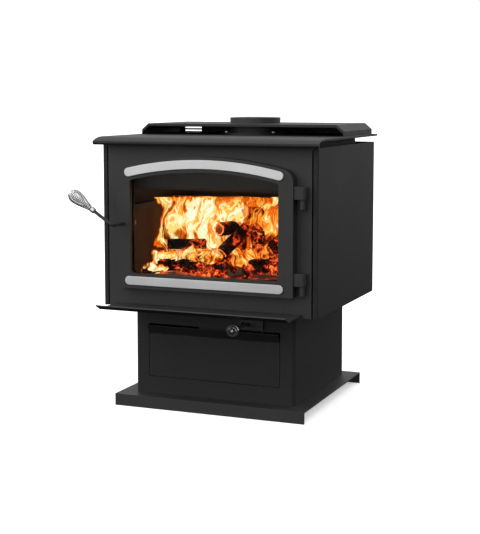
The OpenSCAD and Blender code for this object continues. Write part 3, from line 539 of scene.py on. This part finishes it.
# ---------------------------------------------------------------------------
# Door frame and hinge blocks
# One casting with an arched top: a broad flat face, a channel for the rope behind it and the boss
# for the handle shaft. The blocks on its right edge drop over the hinge pins.
# ---------------------------------------------------------------------------
dressed("door_frame", cast_paint, 0.0014)
dressed("door_hinge_blocks", cast_paint, 0.0012)


# ---------------------------------------------------------------------------
# Door glass, its tape and clips
# Ceramic glass with a smoky tint and a little haze near its edge, bedded on flat woven tape.
# Eight bent clips with screws press it against the frame from behind.
# ---------------------------------------------------------------------------
glass_low, glass_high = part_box("door_glass")
glass_middle = (glass_low + glass_high) / 2


def glass_look(start, place):
    away = place.node("ShaderNodeMapping", None, {"Vector": place, "Location": -glass_middle})
    side = away.along(0).unsigned() / ((glass_high.x - glass_low.x) / 2)
    haze = side.step(0.9, 1.02) * place.clouds(30.0, 5.0, 0.6).step(0.45, 0.7)
    return {
        "Base Color": haze.blend((0.6, 0.585, 0.57, 1.0), (0.45, 0.4, 0.36, 1.0)),
        "Roughness": 0.015 + 0.12 * haze,
        "Transmission Weight": 1.0,
        "IOR": 1.12,
        "Specular IOR Level": 0.5,
    }


def tape_look(start, place):
    warp, weft = (
        place.node("ShaderNodeTexWave", {"bands_direction": run}, {
            "Vector": place, "Scale": 420.0, "Distortion": 0.6}, 1)
        for run in "XZ"
    )
    weave = warp.at_least(weft)
    return {
        "Base Color": weave.blend(grey(0.012), grey(0.05, 0.03)),
        "Roughness": 0.85 + 0.1 * weave,
        "Normal": weave.bump(0.0003, 0.6),
    }


ceramic_glass = finish("ceramic_glass", glass_look)
glass_tape = finish("woven_glass_tape", tape_look)
dressed("door_glass", ceramic_glass, 0.0005)
dressed("glass_tape", glass_tape, 0.0003)
dressed("glass_clips", galvanised, 0.0005)
dressed("clip_screws", zinc, 0.0004)


# ---------------------------------------------------------------------------
# Door rope
# A soft rope of twisted glass-fibre strands, cemented in the channel at the back of the door
# where it seals against the front plate. It is pressed to an oval by the latch.
# ---------------------------------------------------------------------------
def arc(cx, cz, radius, first, last, count):
    turns = [math.radians(first + (last - first) * i / count) for i in range(count + 1)]
    return [(cx + radius * math.cos(t), cz + radius * math.sin(t)) for t in turns]


def rope_line(inset):
    """The door's arched outline drawn smaller by inset."""
    low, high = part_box("door_frame")
    arch_radius = 1.045
    corner = 0.038
    half = high.x - inset
    big = arch_radius - inset
    round_top = corner - inset
    arch_z = high.z - arch_radius
    cx = half - round_top
    cz = arch_z + math.sqrt((big - round_top) ** 2 - cx ** 2)
    lean = math.degrees(math.atan2(cz - arch_z, cx))
    foot = 0.004
    base_z = low.z + inset
    return (
        arc(cx, cz, round_top, 0, lean, 8) + arc(0.0, arch_z, big, lean, 180 - lean, 48)
        + arc(-cx, cz, round_top, 180 - lean, 180, 8)
        + arc(-half + foot, base_z + foot, foot, 180, 270, 5)
        + arc(half - foot, base_z + foot, foot, 270, 360, 5)
    )


def rope_look(start, place):
    fuzz = place.clouds(900.0, 4.0, 0.7)
    soot = place.clouds(18.0, 4.0, 0.6)
    return {
        "Base Color": soot.blend(grey(0.035, 0.02), grey(0.16, 0.05)),
        "Roughness": 0.85 + 0.1 * fuzz,
        "Specular IOR Level": 0.2,
        "Normal": fuzz.bump(0.0005, 0.6),
    }


def twisted_rope(given):
    """A lobed section carried along the line and turned as it goes."""
    start = given["Geometry"]
    line = start.node("GeometryNodeMeshToCurve", None, {"Mesh": start})
    even = line.node("GeometryNodeResampleCurve", None, {"Curve": line, "Count": given["Steps"]})
    along = start.node("GeometryNodeSplineParameter")
    twist = along * given["Twists"] * math.tau
    wound = even.node("GeometryNodeSetCurveTilt", None, {"Curve": even, "Tilt": twist})
    corners = 24
    ring = start.node("GeometryNodeCurvePrimitiveCircle", None, {
        "Resolution": corners, "Radius": given["Radius"]})
    around = start.node("GeometryNodeInputIndex") * (math.tau / corners)
    lobe = 1 - given["Groove"] * start.maths("COSINE", around * 1.5).unsigned() ** 6.0
    spot = start.node("GeometryNodeInputPosition")
    pinched = start.node("ShaderNodeVectorMath", {"operation": "SCALE"}, {0: spot, "Scale": lobe})
    section = ring.node("GeometryNodeSetPosition", None, {"Geometry": ring, "Position": pinched})
    return wound.node("GeometryNodeCurveToMesh", None, {"Curve": wound, "Profile Curve": section})


rope_low, rope_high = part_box("door_rope")
rope_y = (rope_low.y + rope_high.y) / 2
rope_inset = 0.0085
rope_points = rope_line(rope_inset)
path = bpy.data.meshes.new("rope_path")
path.from_pydata(
    [(x, rope_y, z) for x, z in rope_points],
    [(i, (i + 1) % len(rope_points)) for i in range(len(rope_points))], [],
)
rope = grown("door_rope_twisted", path, {
    "Steps": 700, "Twists": 64.0, "Radius": 0.0043, "Groove": 0.2,
}, finish("glass_fibre_rope", rope_look), twisted_rope)
rope_oval = 1.42
for vertex in rope.data.vertices:
    vertex.co.y = rope_y + (vertex.co.y - rope_y) * rope_oval
for polygon in rope.data.polygons:
    polygon.use_smooth = True
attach(rope, "door")
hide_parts("door_rope")


# ---------------------------------------------------------------------------
# Trim bars
# Two polished bars on the door's face, one bent to the arch and one straight, with round ends.
# They are stainless steel brushed lengthways and stuck down with small studs.
# ---------------------------------------------------------------------------
def bar_look(start, place):
    long_grain = place.clouds(900.0, 3.0, 0.6, 0.0, (0.012, 1.0, 1.0))
    fine_grain = place.clouds(2600.0, 2.0, 0.6, 0.0, (0.02, 1.0, 1.0))
    smear = place.clouds(14.0, 3.0, 0.5)
    return {
        "Base Color": (0.6 * long_grain + 0.4 * smear).blend(grey(0.42), grey(0.66, 0.005)),
        "Metallic": 1.0,
        "Roughness": 0.3 + 0.16 * long_grain + 0.1 * smear,
        "Normal": (long_grain + 0.5 * fine_grain).bump(0.00003, 0.35),
    }


brushed = finish("brushed_stainless", bar_look)
dressed("top_bar", brushed, 0.0009)
dressed("bottom_bar", brushed, 0.0009)


# ---------------------------------------------------------------------------
# Handle
# A bent black rod that turns in the door. A small collar stops the grip, an open coil of chromed
# wire wound to a teardrop so that it stays cool; cam and nut sit on the rod's inner end.
# ---------------------------------------------------------------------------
def chrome_look(start, place):
    film = place.clouds(120.0, 4.0, 0.6)
    outside = start.stored("outside")
    bright = film.blend(grey(0.66, -0.01), grey(0.86, -0.005))
    return {
        # Painted shade: where the wire faces in, on its flanks and inside the coil, its colour goes near
        # black, rougher and less metallic, so the gaps between the turns read dark.
        "Base Color": outside.step(0.1, 0.75).blend(grey(0.03), bright),
        "Metallic": outside.step(-0.2, 0.4),
        "Roughness": 0.1 + 0.12 * film + 0.5 * (1 - outside.step(0.1, 0.6)),
        "Normal": place.clouds(500.0).bump(0.00002, 0.4),
    }


def wound_coil(given):
    """A round wire wound along X, swelling from neck to crown and closing at the tip."""
    start = given["Geometry"]
    end = start.node("ShaderNodeCombineXYZ", None, {"X": 1.0})
    line = start.node("GeometryNodeCurvePrimitiveLine", None, {"End": end})
    wire = line.node("GeometryNodeResampleCurve", None, {"Curve": line, "Count": given["Steps"]})
    t = start.node("GeometryNodeSplineParameter")
    s = t + given["Tip first"] * (1 - 2 * t)
    crown = given["Crown place"]
    wide = given["Crown radius"]
    neck = given["Neck radius"]
    rise = start.maths("SINE", (s / crown).at_most(1.0) * (math.pi / 2))
    swell = neck + (wide - neck) * rise ** 1.4
    past = ((s - crown) / (1 - crown)).at_least(0.0)
    close = start.maths("SQRT", 1 - 0.86 * past * past)
    radius = swell * close
    turn = t * given["Turns"] * math.tau
    thick = given["Wire radius"]
    spot = start.node("ShaderNodeCombineXYZ", None, {
        "X": thick + (given["Length"] - 2 * thick) * t,
        "Y": radius * start.maths("COSINE", turn),
        "Z": radius * start.maths("SINE", turn),
    })
    coiled = wire.node("GeometryNodeSetPosition", None, {"Geometry": wire, "Position": spot})
    ring = start.node("GeometryNodeCurvePrimitiveCircle", None, {"Resolution": 12, "Radius": thick})
    solid = coiled.node("GeometryNodeCurveToMesh", None, {
        "Curve": coiled, "Profile Curve": ring, "Fill Caps": True})
    # Stores how far the wire faces out from the coil's axis; the chrome material paints shade with it
    # where the wire faces in.
    radial = start.node("ShaderNodeVectorMath", {"operation": "MULTIPLY"}, {
        0: start.node("GeometryNodeInputPosition"), 1: (0.0, 1.0, 1.0)})
    outward = start.node("ShaderNodeVectorMath", {"operation": "NORMALIZE"}, {0: radial})
    facing = start.node("ShaderNodeVectorMath", {"operation": "DOT_PRODUCT"}, {
        0: outward, 1: start.node("GeometryNodeInputNormal")}, 1)
    return solid.node("GeometryNodeStoreNamedAttribute", {"data_type": "FLOAT", "domain": "POINT"}, {
        "Geometry": solid, "Name": "outside", "Value": facing})


def coil_piece(name, sizes, place, body, node):
    piece = grown(name, bpy.data.meshes.new(name), sizes, chrome, wound_coil)
    piece.data.transform(place)
    for polygon in piece.data.polygons:
        polygon.use_smooth = len(polygon.vertices) < 5
    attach(piece, body)
    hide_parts(node)
    return piece


chrome = finish("chromed_wire", chrome_look)
turn_at = Vector(next(j for j in frame["joints"] if j["name"] == "handle_turn")["pos_m"])
arm_tilt = math.radians(33.6)
rod_radius = 0.00475
grip_start = 0.082
arm_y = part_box("handle_rod")[0].y + rod_radius
arm_frame = Matrix.Translation((turn_at.x, arm_y, turn_at.z)) @ Matrix.Rotation(arm_tilt - math.pi, 4, "Y")
coil_piece("handle_coil_grip", {
    "Length": 0.082, "Turns": 14.0, "Steps": 560, "Neck radius": 0.00665, "Crown radius": 0.018,
    "Crown place": 0.76, "Wire radius": 0.0015, "Tip first": 0.0,
}, arm_frame @ Matrix.Translation((grip_start, 0, 0)), "handle", "handle_coil")
dressed("handle_rod", satin_paint, 0.0006)
dressed("handle_ferrule", zinc, 0.0012)
dressed("latch_cam", galvanised, 0.0006)
dressed("latch_nut", zinc, 0.0005)


# ---------------------------------------------------------------------------
# Air control
# A round rod through the pedestal with a small coil knob, pushed or pulled to slide a damper
# plate under the firebox. The rod is bright steel and the knob is chromed wire.
# ---------------------------------------------------------------------------
rod_low, rod_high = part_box("air_rod")
knob_end_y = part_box("air_knob")[0].y
knob_tip = Matrix.Translation(
    ((rod_low.x + rod_high.x) / 2, knob_end_y, (rod_low.z + rod_high.z) / 2)
) @ Matrix.Rotation(math.pi / 2, 4, "Z")
coil_piece("air_knob_coil", {
    "Length": 0.038, "Turns": 6.0, "Steps": 300, "Neck radius": 0.0059, "Crown radius": 0.016,
    "Crown place": 0.76, "Wire radius": 0.0015, "Tip first": 1.0,
}, knob_tip, "air_control", "air_knob")
dressed("air_rod", zinc, 0.0008)
dressed("damper_plate", galvanised, 0.0004)


# ---------------------------------------------------------------------------
# Ash drawer
# A folded pan that slides on the runners behind a flat painted front. The front's upper edge
# leans out as a full-width pull.
# ---------------------------------------------------------------------------
def pan_look(start, place):
    ash = place.clouds(16.0, 6.0, 0.65)
    dust = (1 - place.along(2).step(0.092, 0.13)) * 0.6 + ash.step(0.5, 0.75) * 0.4
    spangle = place.node("ShaderNodeTexVoronoi", None, {"Vector": place, "Scale": 110.0}, 1)
    tint = spangle.node("ShaderNodeSeparateColor", None, {"Color": spangle})
    return {
        "Base Color": dust.blend(tint.blend(grey(0.16), grey(0.34)), grey(0.3, 0.05)),
        "Metallic": 0.9 - 0.8 * dust,
        "Roughness": 0.42 + 0.45 * dust,
        "Normal": ash.bump(0.0005, 0.4),
    }


# The drawer front takes the darker copy of the paint: painted shade.
dressed("drawer_front", shade_darkened_paint, 0.0008)
dressed("drawer_pan", finish("ashy_pan", pan_look), 0.0005)


# ---------------------------------------------------------------------------
# Ash plug
# A round casting that closes the hole in the firebox floor. A bar across the recess in its top
# takes a hook to lift it out.
# ---------------------------------------------------------------------------
dressed("ash_plug", scorched, 0.0009)


# ---------------------------------------------------------------------------
# Ember bed
# A bed of grey ash and glowing coals on the bricks behind the ash plug. The coals are broken
# charcoal, dark outside and red to orange where they still burn.
# ---------------------------------------------------------------------------
floor_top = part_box("floor_bricks")[1].z
wall_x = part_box("left_bricks")[1].x
back_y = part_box("rear_bricks")[0].y
plug_y = sum(corner.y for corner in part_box("ash_plug")) / 2


def bed_height(x, y):
    """How high the ash lies: heaped inside, thin at the walls, a bare film over the ash plug."""
    film, clear_radius, slope = 0.001, 0.058, 0.05
    side = min(1.0, max(0.0, (abs(wall_x) - abs(x)) / slope))
    rear = min(1.0, max(0.0, (back_y - y) / 0.06))
    clear = min(1.0, max(0.0, (math.hypot(x, y - plug_y) - clear_radius) / slope))
    heap = 0.026 + 0.02 * noise.noise(Vector((x * 9, y * 9, 3.1)))
    mound_x, mound_y = 0.09, 0.23
    heap += 0.038 * math.exp(-((x - mound_x) / 0.09) ** 2 - ((y - mound_y) / 0.07) ** 2)
    return film + max(0.0, heap) * side ** 0.5 * rear ** 0.5 * clear


def glow_look(start, place, dark, lit, size, strength):
    """Charcoal with heat showing through it in cracks and patches."""
    patch = place.clouds(size, 5.0, 0.62)
    crack = place.node("ShaderNodeTexVoronoi", {"feature": "DISTANCE_TO_EDGE"}, {
        "Vector": place, "Scale": size * 5.5})
    heat = patch.step(0.42, 0.7) * 0.8 + (1 - crack.step(0.0, 0.12)) * patch.step(0.36, 0.6) * 0.7
    return {
        "Base Color": patch.blend(dark, lit),
        "Roughness": 0.9,
        "Specular IOR Level": 0.2,
        "Emission Color": heat.ramp([
            (0.12, (0.0, 0.0, 0.0)), (0.35, (0.22, 0.006, 0.0)), (0.6, (0.75, 0.035, 0.003)),
            (0.85, (1.0, 0.1, 0.012)), (1.0, (1.0, 0.32, 0.06)),
        ]),
        "Emission Strength": strength,
        "Normal": (patch + 0.5 * crack.step(0.0, 0.2)).bump(0.0012, 0.8),
    }


def sheet_of(name, columns, rows, at):
    """A mesh of columns by rows cells with a UV map; at(u, v) gives each corner's place."""
    spots = [at(i / columns, j / rows) for j in range(rows + 1) for i in range(columns + 1)]
    step = columns + 1
    cells = [
        (j * step + i, j * step + i + 1, (j + 1) * step + i + 1, (j + 1) * step + i)
        for j in range(rows) for i in range(columns)
    ]
    mesh = bpy.data.meshes.new(name)
    mesh.from_pydata(spots, [], cells)
    flow = mesh.uv_layers.new(name="flow")
    for loop in mesh.loops:
        j, i = divmod(loop.vertex_index, step)
        flow.data[loop.index].uv = (i / columns, j / rows)
    for polygon in mesh.polygons:
        polygon.use_smooth = True
    return mesh


def bed_spot(u, v):
    x = (2 * u - 1) * (abs(wall_x) - 0.002)
    y = 0.075 + (back_y - 0.077) * v
    return (x, y, floor_top + bed_height(x, y))


def scattered_coals(given):
    """Rough lumps strewn over the bed, each turned and sized by chance from a fixed seed."""
    start = given["Geometry"]
    strewn = start.node("GeometryNodeDistributePointsOnFaces", None, {
        "Mesh": start, "Density": given["Per square metre"], "Seed": given["Seed"]})
    lump = start.node("GeometryNodeMeshIcoSphere", None, {
        "Radius": given["Lump radius"], "Subdivisions": 2})
    spot = start.node("GeometryNodeInputPosition")
    rough = start.node("ShaderNodeTexNoise", {"noise_dimensions": "3D"}, {
        "Vector": spot, "Scale": 95.0, "Detail": 2.0})
    squash = start.node("ShaderNodeVectorMath", {"operation": "SCALE"}, {
        0: spot, "Scale": 0.35 + 1.25 * rough})
    broken = lump.node("GeometryNodeSetPosition", None, {"Geometry": lump, "Position": squash})
    turn = start.node("FunctionNodeRandomValue", {"data_type": "FLOAT_VECTOR"}, {
        0: (0.0, 0.0, 0.0), 1: (6.28, 6.28, 6.28), "Seed": given["Seed"]})
    size = start.node("FunctionNodeRandomValue", {"data_type": "FLOAT_VECTOR"}, {
        0: (0.55, 0.45, 0.4), 1: (1.9, 1.3, 1.1), "Seed": 7})
    return start.node("GeometryNodeInstanceOnPoints", None, {
        "Points": strewn, "Instance": broken, "Rotation": turn, "Scale": size})


ash_bed = finish("ash_and_cinders", lambda start, place: glow_look(
    start, place, grey(0.03, 0.05), grey(0.16, 0.04), 13.0, 1.2))
coal = finish("glowing_charcoal", lambda start, place: glow_look(
    start, place, grey(0.006, 0.05), grey(0.03, 0.06), 24.0, 2.6))
bed = bpy.data.objects.new("ash_bed", sheet_of("ash_bed", 120, 90, bed_spot))
bed.data.materials.append(ash_bed)
bpy.context.scene.collection.objects.link(bed)
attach(bed, "stove")


def heaped_spot(u, v):
    x = -0.2 + 0.43 * u
    y = 0.15 + 0.2 * v
    return (x, y, floor_top + bed_height(x, y) + 0.004)


coals = grown("glowing_coals", sheet_of("coal_field", 30, 20, heaped_spot), {
    "Per square metre": 3400.0, "Lump radius": 0.0105, "Seed": 12,
}, coal, scattered_coals)
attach(coals, "stove")


# ---------------------------------------------------------------------------
# Burning logs
# Split and round logs laid across the coals, charred black in small blocks with heat in the
# cracks between them. They are part of the fire and only loose in the stove.
# ---------------------------------------------------------------------------
def log_look(start, place):
    charred = start.stored("crack")
    cut_end = start.stored("cut_end")
    patch = place.clouds(22.0, 5.0, 0.6)
    fine = place.clouds(320.0, 4.0, 0.7)
    bark = patch.ramp([
        (0.3, (0.004, 0.003, 0.003)), (0.52, (0.012, 0.007, 0.005)), (0.66, (0.04, 0.02, 0.012)),
        (0.8, (0.1, 0.085, 0.075)),
    ])
    wood = fine.blend((0.12, 0.045, 0.02, 1.0), (0.28, 0.12, 0.05, 1.0))
    vein = place.clouds(60.0, 4.0, 0.6)
    seam = (1 - (vein * 2 - 1).unsigned() * 9.0).step(0.0, 1.0) * patch.step(0.42, 0.62)
    # Painted firelight: the ring where a cut end meets the side glows orange, as if lit by the flames.
    rim = cut_end * (1 - cut_end) * 4
    heat = charred ** 2.0 * patch.step(0.45, 0.66) * 0.9 + seam * 0.75 + rim
    heat = heat + cut_end * fine.step(0.5, 0.85) * 0.35
    return {
        "Base Color": (cut_end * 0.8).blend(bark, wood),
        "Roughness": 0.82 + 0.15 * fine,
        "Specular IOR Level": 0.25,
        "Emission Color": heat.ramp([
            (0.1, (0.0, 0.0, 0.0)), (0.35, (0.3, 0.008, 0.0)), (0.65, (0.95, 0.07, 0.006)),
            (1.0, (1.0, 0.34, 0.06)),
        ]),
        "Emission Strength": 2.0,
        "Normal": fine.bump(0.0012, 0.8),
    }


def charred_log(name, tail, head, radius, seed, split=0.0):
    """A log from tail to head. Its side is crazed into char blocks; split flattens one side."""
    around, along = 72, 96
    tail, head = Vector(tail), Vector(head)
    axis = (head - tail).normalized()
    side = axis.cross(Vector((0, 0, 1))).normalized()
    up = side.cross(axis)
    length = (head - tail).length
    shift = Vector((seed * 3.7, seed * 1.9, seed))
    spots, cracks, ends = [], [], []
    for j in range(along + 1):
        t = j / along
        bow = 0.12 * radius * math.sin(math.pi * t + seed)
        for i in range(around):
            a = math.tau * i / around
            round_spot = Vector((math.cos(a) * radius, math.sin(a) * radius, t * length))
            swell = noise.noise(round_spot * 14 + shift) * 0.16
            ridge = noise.noise(Vector((round_spot.x * 130, round_spot.y * 130, t * length * 22)) + shift)
            wander = Vector((ridge, ridge, swell)) * 0.25
            block = Vector((round_spot.x * 95, round_spot.y * 95, t * length * 26)) + shift + wander
            cells = noise.voronoi(block)[0]
            gap = max(0.0, 1.0 - (cells[1] - cells[0]) * 8.0)
            wide = radius * (1 + swell) + 0.002 * ridge - 0.0036 * gap
            flat = max(0.0, math.cos(a - 1.9 - seed)) ** 3 * split
            wide *= 1 - 0.42 * flat
            wide *= 1 - 0.1 * max(0.0, abs(t - 0.5) * 2 - 0.93) / 0.07
            out = side * math.cos(a) + up * math.sin(a)
            spots.append(tail + axis * (t * length) + out * wide + up * bow)
            cracks.append(gap)
            ends.append(0.0)
    cells = [
        (j * around + i, j * around + (i + 1) % around,
         (j + 1) * around + (i + 1) % around, (j + 1) * around + i)
        for j in range(along) for i in range(around)
    ]
    for end, row, out in ((0, 0, -1), (1, along, 1)):
        rim = [row * around + i for i in range(around)]
        centre = sum((spots[k] for k in rim), Vector()) / around
        for share in (0.72, 0.45, 0.2):
            ring = len(spots)
            for i in range(around):
                spot = centre + (spots[row * around + i] - centre) * share
                dent = noise.noise(spot * 160 + shift) * 0.003
                spots.append(spot + axis * out * (dent + 0.001))
                cracks.append(0.0)
                ends.append(1.0)
            inner = list(range(ring, ring + around))
            for i in range(around):
                quad = (rim[i], rim[(i + 1) % around], inner[(i + 1) % around], inner[i])
                cells.append(quad if end else quad[::-1])
            rim = inner
        cells.append(tuple(rim) if end else tuple(rim[::-1]))
    mesh = bpy.data.meshes.new(name)
    mesh.from_pydata(spots, [], cells)
    mesh.attributes.new("crack", "FLOAT", "POINT").data.foreach_set("value", cracks)
    mesh.attributes.new("cut_end", "FLOAT", "POINT").data.foreach_set("value", ends)
    for polygon in mesh.polygons:
        polygon.use_smooth = True
    tidy = bmesh.new()
    tidy.from_mesh(mesh)
    bmesh.ops.recalc_face_normals(tidy, faces=tidy.faces)
    tidy.to_mesh(mesh)
    tidy.free()
    mesh.materials.append(charred_wood)
    piece = bpy.data.objects.new(name, mesh)
    bpy.context.scene.collection.objects.link(piece)
    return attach(piece, "stove")


charred_wood = finish("charred_wood", log_look)
charred_log("log_front", (-0.215, 0.128, 0.398), (-0.035, 0.215, 0.401), 0.026, 1.3, 0.5)
charred_log("log_floor_left", (-0.225, 0.2, 0.398), (-0.09, 0.33, 0.402), 0.026, 5.2)
charred_log("log_floor_right", (0.225, 0.2, 0.408), (-0.02, 0.31, 0.402), 0.034, 2.1, 0.6)
charred_log("log_right_stack", (0.055, 0.2, 0.4), (0.226, 0.24, 0.444), 0.028, 3.4, 0.8)
charred_log("log_across_back", (-0.2, 0.33, 0.458), (0.17, 0.36, 0.468), 0.031, 4.4)
charred_log("log_middle", (-0.193, 0.15, 0.466), (-0.088, 0.2, 0.466), 0.017, 6.1, 0.3)
charred_log("log_end_on", (-0.048, 0.205, 0.508), (0.03, 0.41, 0.505), 0.022, 7.7)
charred_log("log_leaning", (-0.035, 0.2, 0.44), (0.05, 0.31, 0.555), 0.021, 8.3, 0.7)
charred_log("log_upright_split", (0.075, 0.225, 0.452), (0.03, 0.3, 0.56), 0.024, 9.6, 1.0)
charred_log("log_leaning_right", (0.1, 0.24, 0.45), (0.2, 0.345, 0.55), 0.024, 10.2, 0.8)
charred_log("log_stub", (-0.246, 0.085, 0.384), (-0.19, 0.115, 0.388), 0.015, 11.4, 0.4)


# ---------------------------------------------------------------------------
# Flames
# Curling curtains of fire over the logs, each a thin curved sheet that gives light and fades
# out at its edges. Several stand one behind the other and lean with the draught.
# ---------------------------------------------------------------------------
def flame_finish(name, seed, across, heat_gain, reach, ragged):
    """Fire for one sheet: bright strands in orange, across tongues wide, open between them."""
    def look(start, place):
        spot = start.node("ShaderNodeUVMap", {"uv_map": "flow"})
        u = spot.along(0)
        v = spot.along(1)

        def at(x, y, z):
            return start.node("ShaderNodeCombineXYZ", None, {"X": x, "Y": y, "Z": z})

        drift = at(u * across * 0.5, v * 0.9, seed).clouds(1.0, 2.0, 0.5)
        curl = at(u * across * 1.5, v * 2.0, seed + 5.0).clouds(1.0, 3.0, 0.55)
        x = u * across + (drift - 0.5) * 2.2 + (curl - 0.5) * (0.35 + 1.3 * v)
        y = v + (curl - 0.5) * 0.7
        body = at(x * 1.5, y * 0.95, seed + 2.0).clouds(1.3, 4.0, 0.55, 0.35)
        wisp = at(x * 2.6, y * 1.15, seed + 3.0).clouds(1.3, 3.0, 0.5, 0.5)
        fold = at(x * 5.5, y * 2.2, seed + 4.0).clouds(1.2, 2.0, 0.5, 0.6)
        strand = (1 - (wisp * 2 - 1).unsigned() * 5.0).step(0.0, 1.0)
        thread = (1 - (fold * 2 - 1).unsigned() * 6.0).step(0.1, 1.0)
        tongue = at(x * 1.1, v * 0.4, seed + 7.0).clouds(1.5, 3.0, 0.5)
        height = reach + (tongue - 0.5) * ragged
        inside = (height - v).step(-0.02, 0.16)
        wander = u + (curl - 0.5) * 0.4 + (drift - 0.5) * 0.3 + 0.1 * v.step(0.72, 1.0)
        sides = wander.step(0.06, 0.14) * (1 - wander.step(0.86, 0.94))
        foot = v.step(0.0, 0.08)
        mass = inside * sides * foot
        full = body.step(0.36, 0.62)
        heat = mass * (0.14 + 0.2 * full + 0.34 * strand + 0.3 * thread * full) * heat_gain
        present = body.step(0.4, 0.52)
        cover = mass.step(0.02, 0.4) * (0.06 + 0.94 * present).at_least(strand * 0.85)
        return {
            "Base Color": (0.0, 0.0, 0.0, 1.0),
            "Roughness": 1.0,
            "Specular IOR Level": 0.0,
            "Emission Color": heat.ramp([
                (0.0, (0.03, 0.0, 0.0)), (0.14, (0.3, 0.018, 0.0)), (0.28, (0.8, 0.11, 0.004)),
                (0.42, (1.0, 0.28, 0.018)), (0.57, (1.0, 0.52, 0.07)), (0.74, (1.0, 0.78, 0.25)),
                (0.92, (1.0, 0.97, 0.72)),
            ]),
            "Emission Strength": 1.8,
            "Alpha": cover,
        }
    made = finish(name, look)
    made.cycles.emission_sampling = "NONE"
    return made


def flame(name, left, right, low, high, lean, seed, across, heat_gain, reach, ragged):
    """A curtain from left to right, given as (x, y), standing from low to high."""
    def at(u, v):
        x = left[0] + (right[0] - left[0]) * u
        y = left[1] + (right[1] - left[1]) * u
        wave = noise.noise(Vector((x * 16, v * 2.2, seed)))
        y += 0.022 * wave + lean * v * v
        sway = 0.01 * noise.noise(Vector((x * 12, v * 3, seed + 4)))
        return (x + sway, y, low + (high - low) * v)
    mesh = sheet_of(name, 60, 40, at)
    mesh.materials.append(flame_finish(name + "_fire", seed, across, heat_gain, reach, ragged))
    piece = bpy.data.objects.new(name, mesh)
    bpy.context.scene.collection.objects.link(piece)
    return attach(piece, "stove")


flame("flame_rear", (-0.24, 0.38), (0.245, 0.42), 0.41, 0.593, -0.02, 3.0, 6.0, 0.75, 1.15, 0.2)
flame("flame_back", (-0.24, 0.29), (0.235, 0.37), 0.42, 0.6, 0.0, 11.0, 5.5, 1.0, 1.15, 0.3)
flame("flame_core", (-0.245, 0.16), (0.04, 0.28), 0.42, 0.604, 0.0, 21.0, 3.6, 1.3, 1.1, 0.4)
flame("flame_right", (0.0, 0.24), (0.24, 0.3), 0.43, 0.6, 0.0, 33.0, 3.4, 0.95, 0.95, 0.9)
flame("flame_low_left", (-0.24, 0.115), (-0.03, 0.18), 0.405, 0.5, 0.0, 41.0, 3.6, 1.4, 0.55, 1.1)
flame("flame_stub", (-0.25, 0.08), (-0.17, 0.105), 0.378, 0.44, 0.0, 47.0, 1.8, 1.6, 0.6, 1.0)
flame("flame_low_right", (-0.03, 0.19), (0.2, 0.2), 0.4, 0.51, 0.0, 51.0, 4.0, 1.0, 0.5, 1.2)


# ---------------------------------------------------------------------------
# Floor, lights and camera
# A plain pale floor under a white sky that is brighter in front, and a broad soft light above on
# the left. Small warm lamps in the fire light the bricks and the logs.
# ---------------------------------------------------------------------------
def floor_look(start, place):
    shade = place.clouds(1.2, 3.0, 0.5)
    return {
        "Base Color": shade.blend(grey(0.93), grey(0.96)),
        "Roughness": 0.75 + 0.1 * shade,
        "Specular IOR Level": 0.2,
        "Emission Color": grey(1.0),
        "Emission Strength": 0.4,
        "Normal": place.clouds(240.0).bump(0.0002, 0.2),
    }


floor_half = 40.0
floor_mesh = bpy.data.meshes.new("studio_floor")
floor_mesh.from_pydata(
    [(-floor_half, -floor_half, 0), (floor_half, -floor_half, 0),
     (floor_half, floor_half, 0), (-floor_half, floor_half, 0)], [], [(0, 1, 2, 3)])
floor_mesh.materials.append(finish("pale_floor", floor_look))
studio_floor = bpy.data.objects.new("studio_floor", floor_mesh)
bpy.context.scene.collection.objects.link(studio_floor)

studio_floor.visible_diffuse = False
studio_floor.visible_glossy = False

sky = bpy.data.worlds.new("studio_sky")
sky.use_nodes = True
sky.node_tree.nodes.clear()
start = Socket(sky.node_tree)
heading = start.node("ShaderNodeTexCoord")
rightward = heading.along(0)
backward = heading.along(1)
rise = heading.along(2)
level = 1 - rise.step(0.3, 0.7)
dark_corner = 1 - rightward.step(0.7, 0.85) * level * (1 - backward.step(-0.1, 0.1)) * 0.85
front_fill = 1 + 0.95 * (0 - backward).step(0.1, 0.6)
light = (0.03 + rise.step(-0.08, -0.03)) * dark_corner * front_fill
backdrop = start.node("ShaderNodeBackground", None, {"Color": grey(1.0), "Strength": light})
start.node("ShaderNodeOutputWorld", None, {"Surface": backdrop})
bpy.context.scene.world = sky


def lamp(name, kind, place, energy, colour, size, aim=None):
    source = bpy.data.lights.new(name, kind)
    source.energy = energy
    source.color = colour
    if kind == "AREA":
        source.size = size
    else:
        source.shadow_soft_size = size
    made = bpy.data.objects.new(name, source)
    made.location = place
    if aim:
        made.rotation_euler = (Vector(aim) - Vector(place)).to_track_quat("-Z", "Y").to_euler()
    made.visible_transmission = False
    made.visible_glossy = kind == "AREA"
    bpy.context.scene.collection.objects.link(made)
    return made


lamp("soft_left", "AREA", (-2.2, -1.6, 2.6), 28.0, (1.0, 1.0, 1.0), 1.6, (0, 0.2, 0.6))
lamp("fire_glow_low", "POINT", (-0.06, 0.17, 0.47), 0.22, (1.0, 0.42, 0.12), 0.03)
lamp("fire_glow_high", "POINT", (-0.1, 0.24, 0.57), 0.3, (1.0, 0.5, 0.17), 0.04)
lamp("fire_glow_right", "POINT", (0.13, 0.2, 0.5), 0.14, (1.0, 0.36, 0.1), 0.03)

camera_data = bpy.data.cameras.new("camera")
camera_data.lens = 82.25
camera_data.sensor_width = 36.0
camera_data.shift_y = -0.0793
camera = bpy.data.objects.new("camera", camera_data)
camera.location = (1.3793, -3.1301, 0.9062)
camera.rotation_euler = (math.radians(90 - 6), 0.0, math.radians(22.186))
bpy.context.scene.collection.objects.link(camera)
bpy.context.scene.camera = camera
bpy.context.scene.view_settings.view_transform = "Standard"
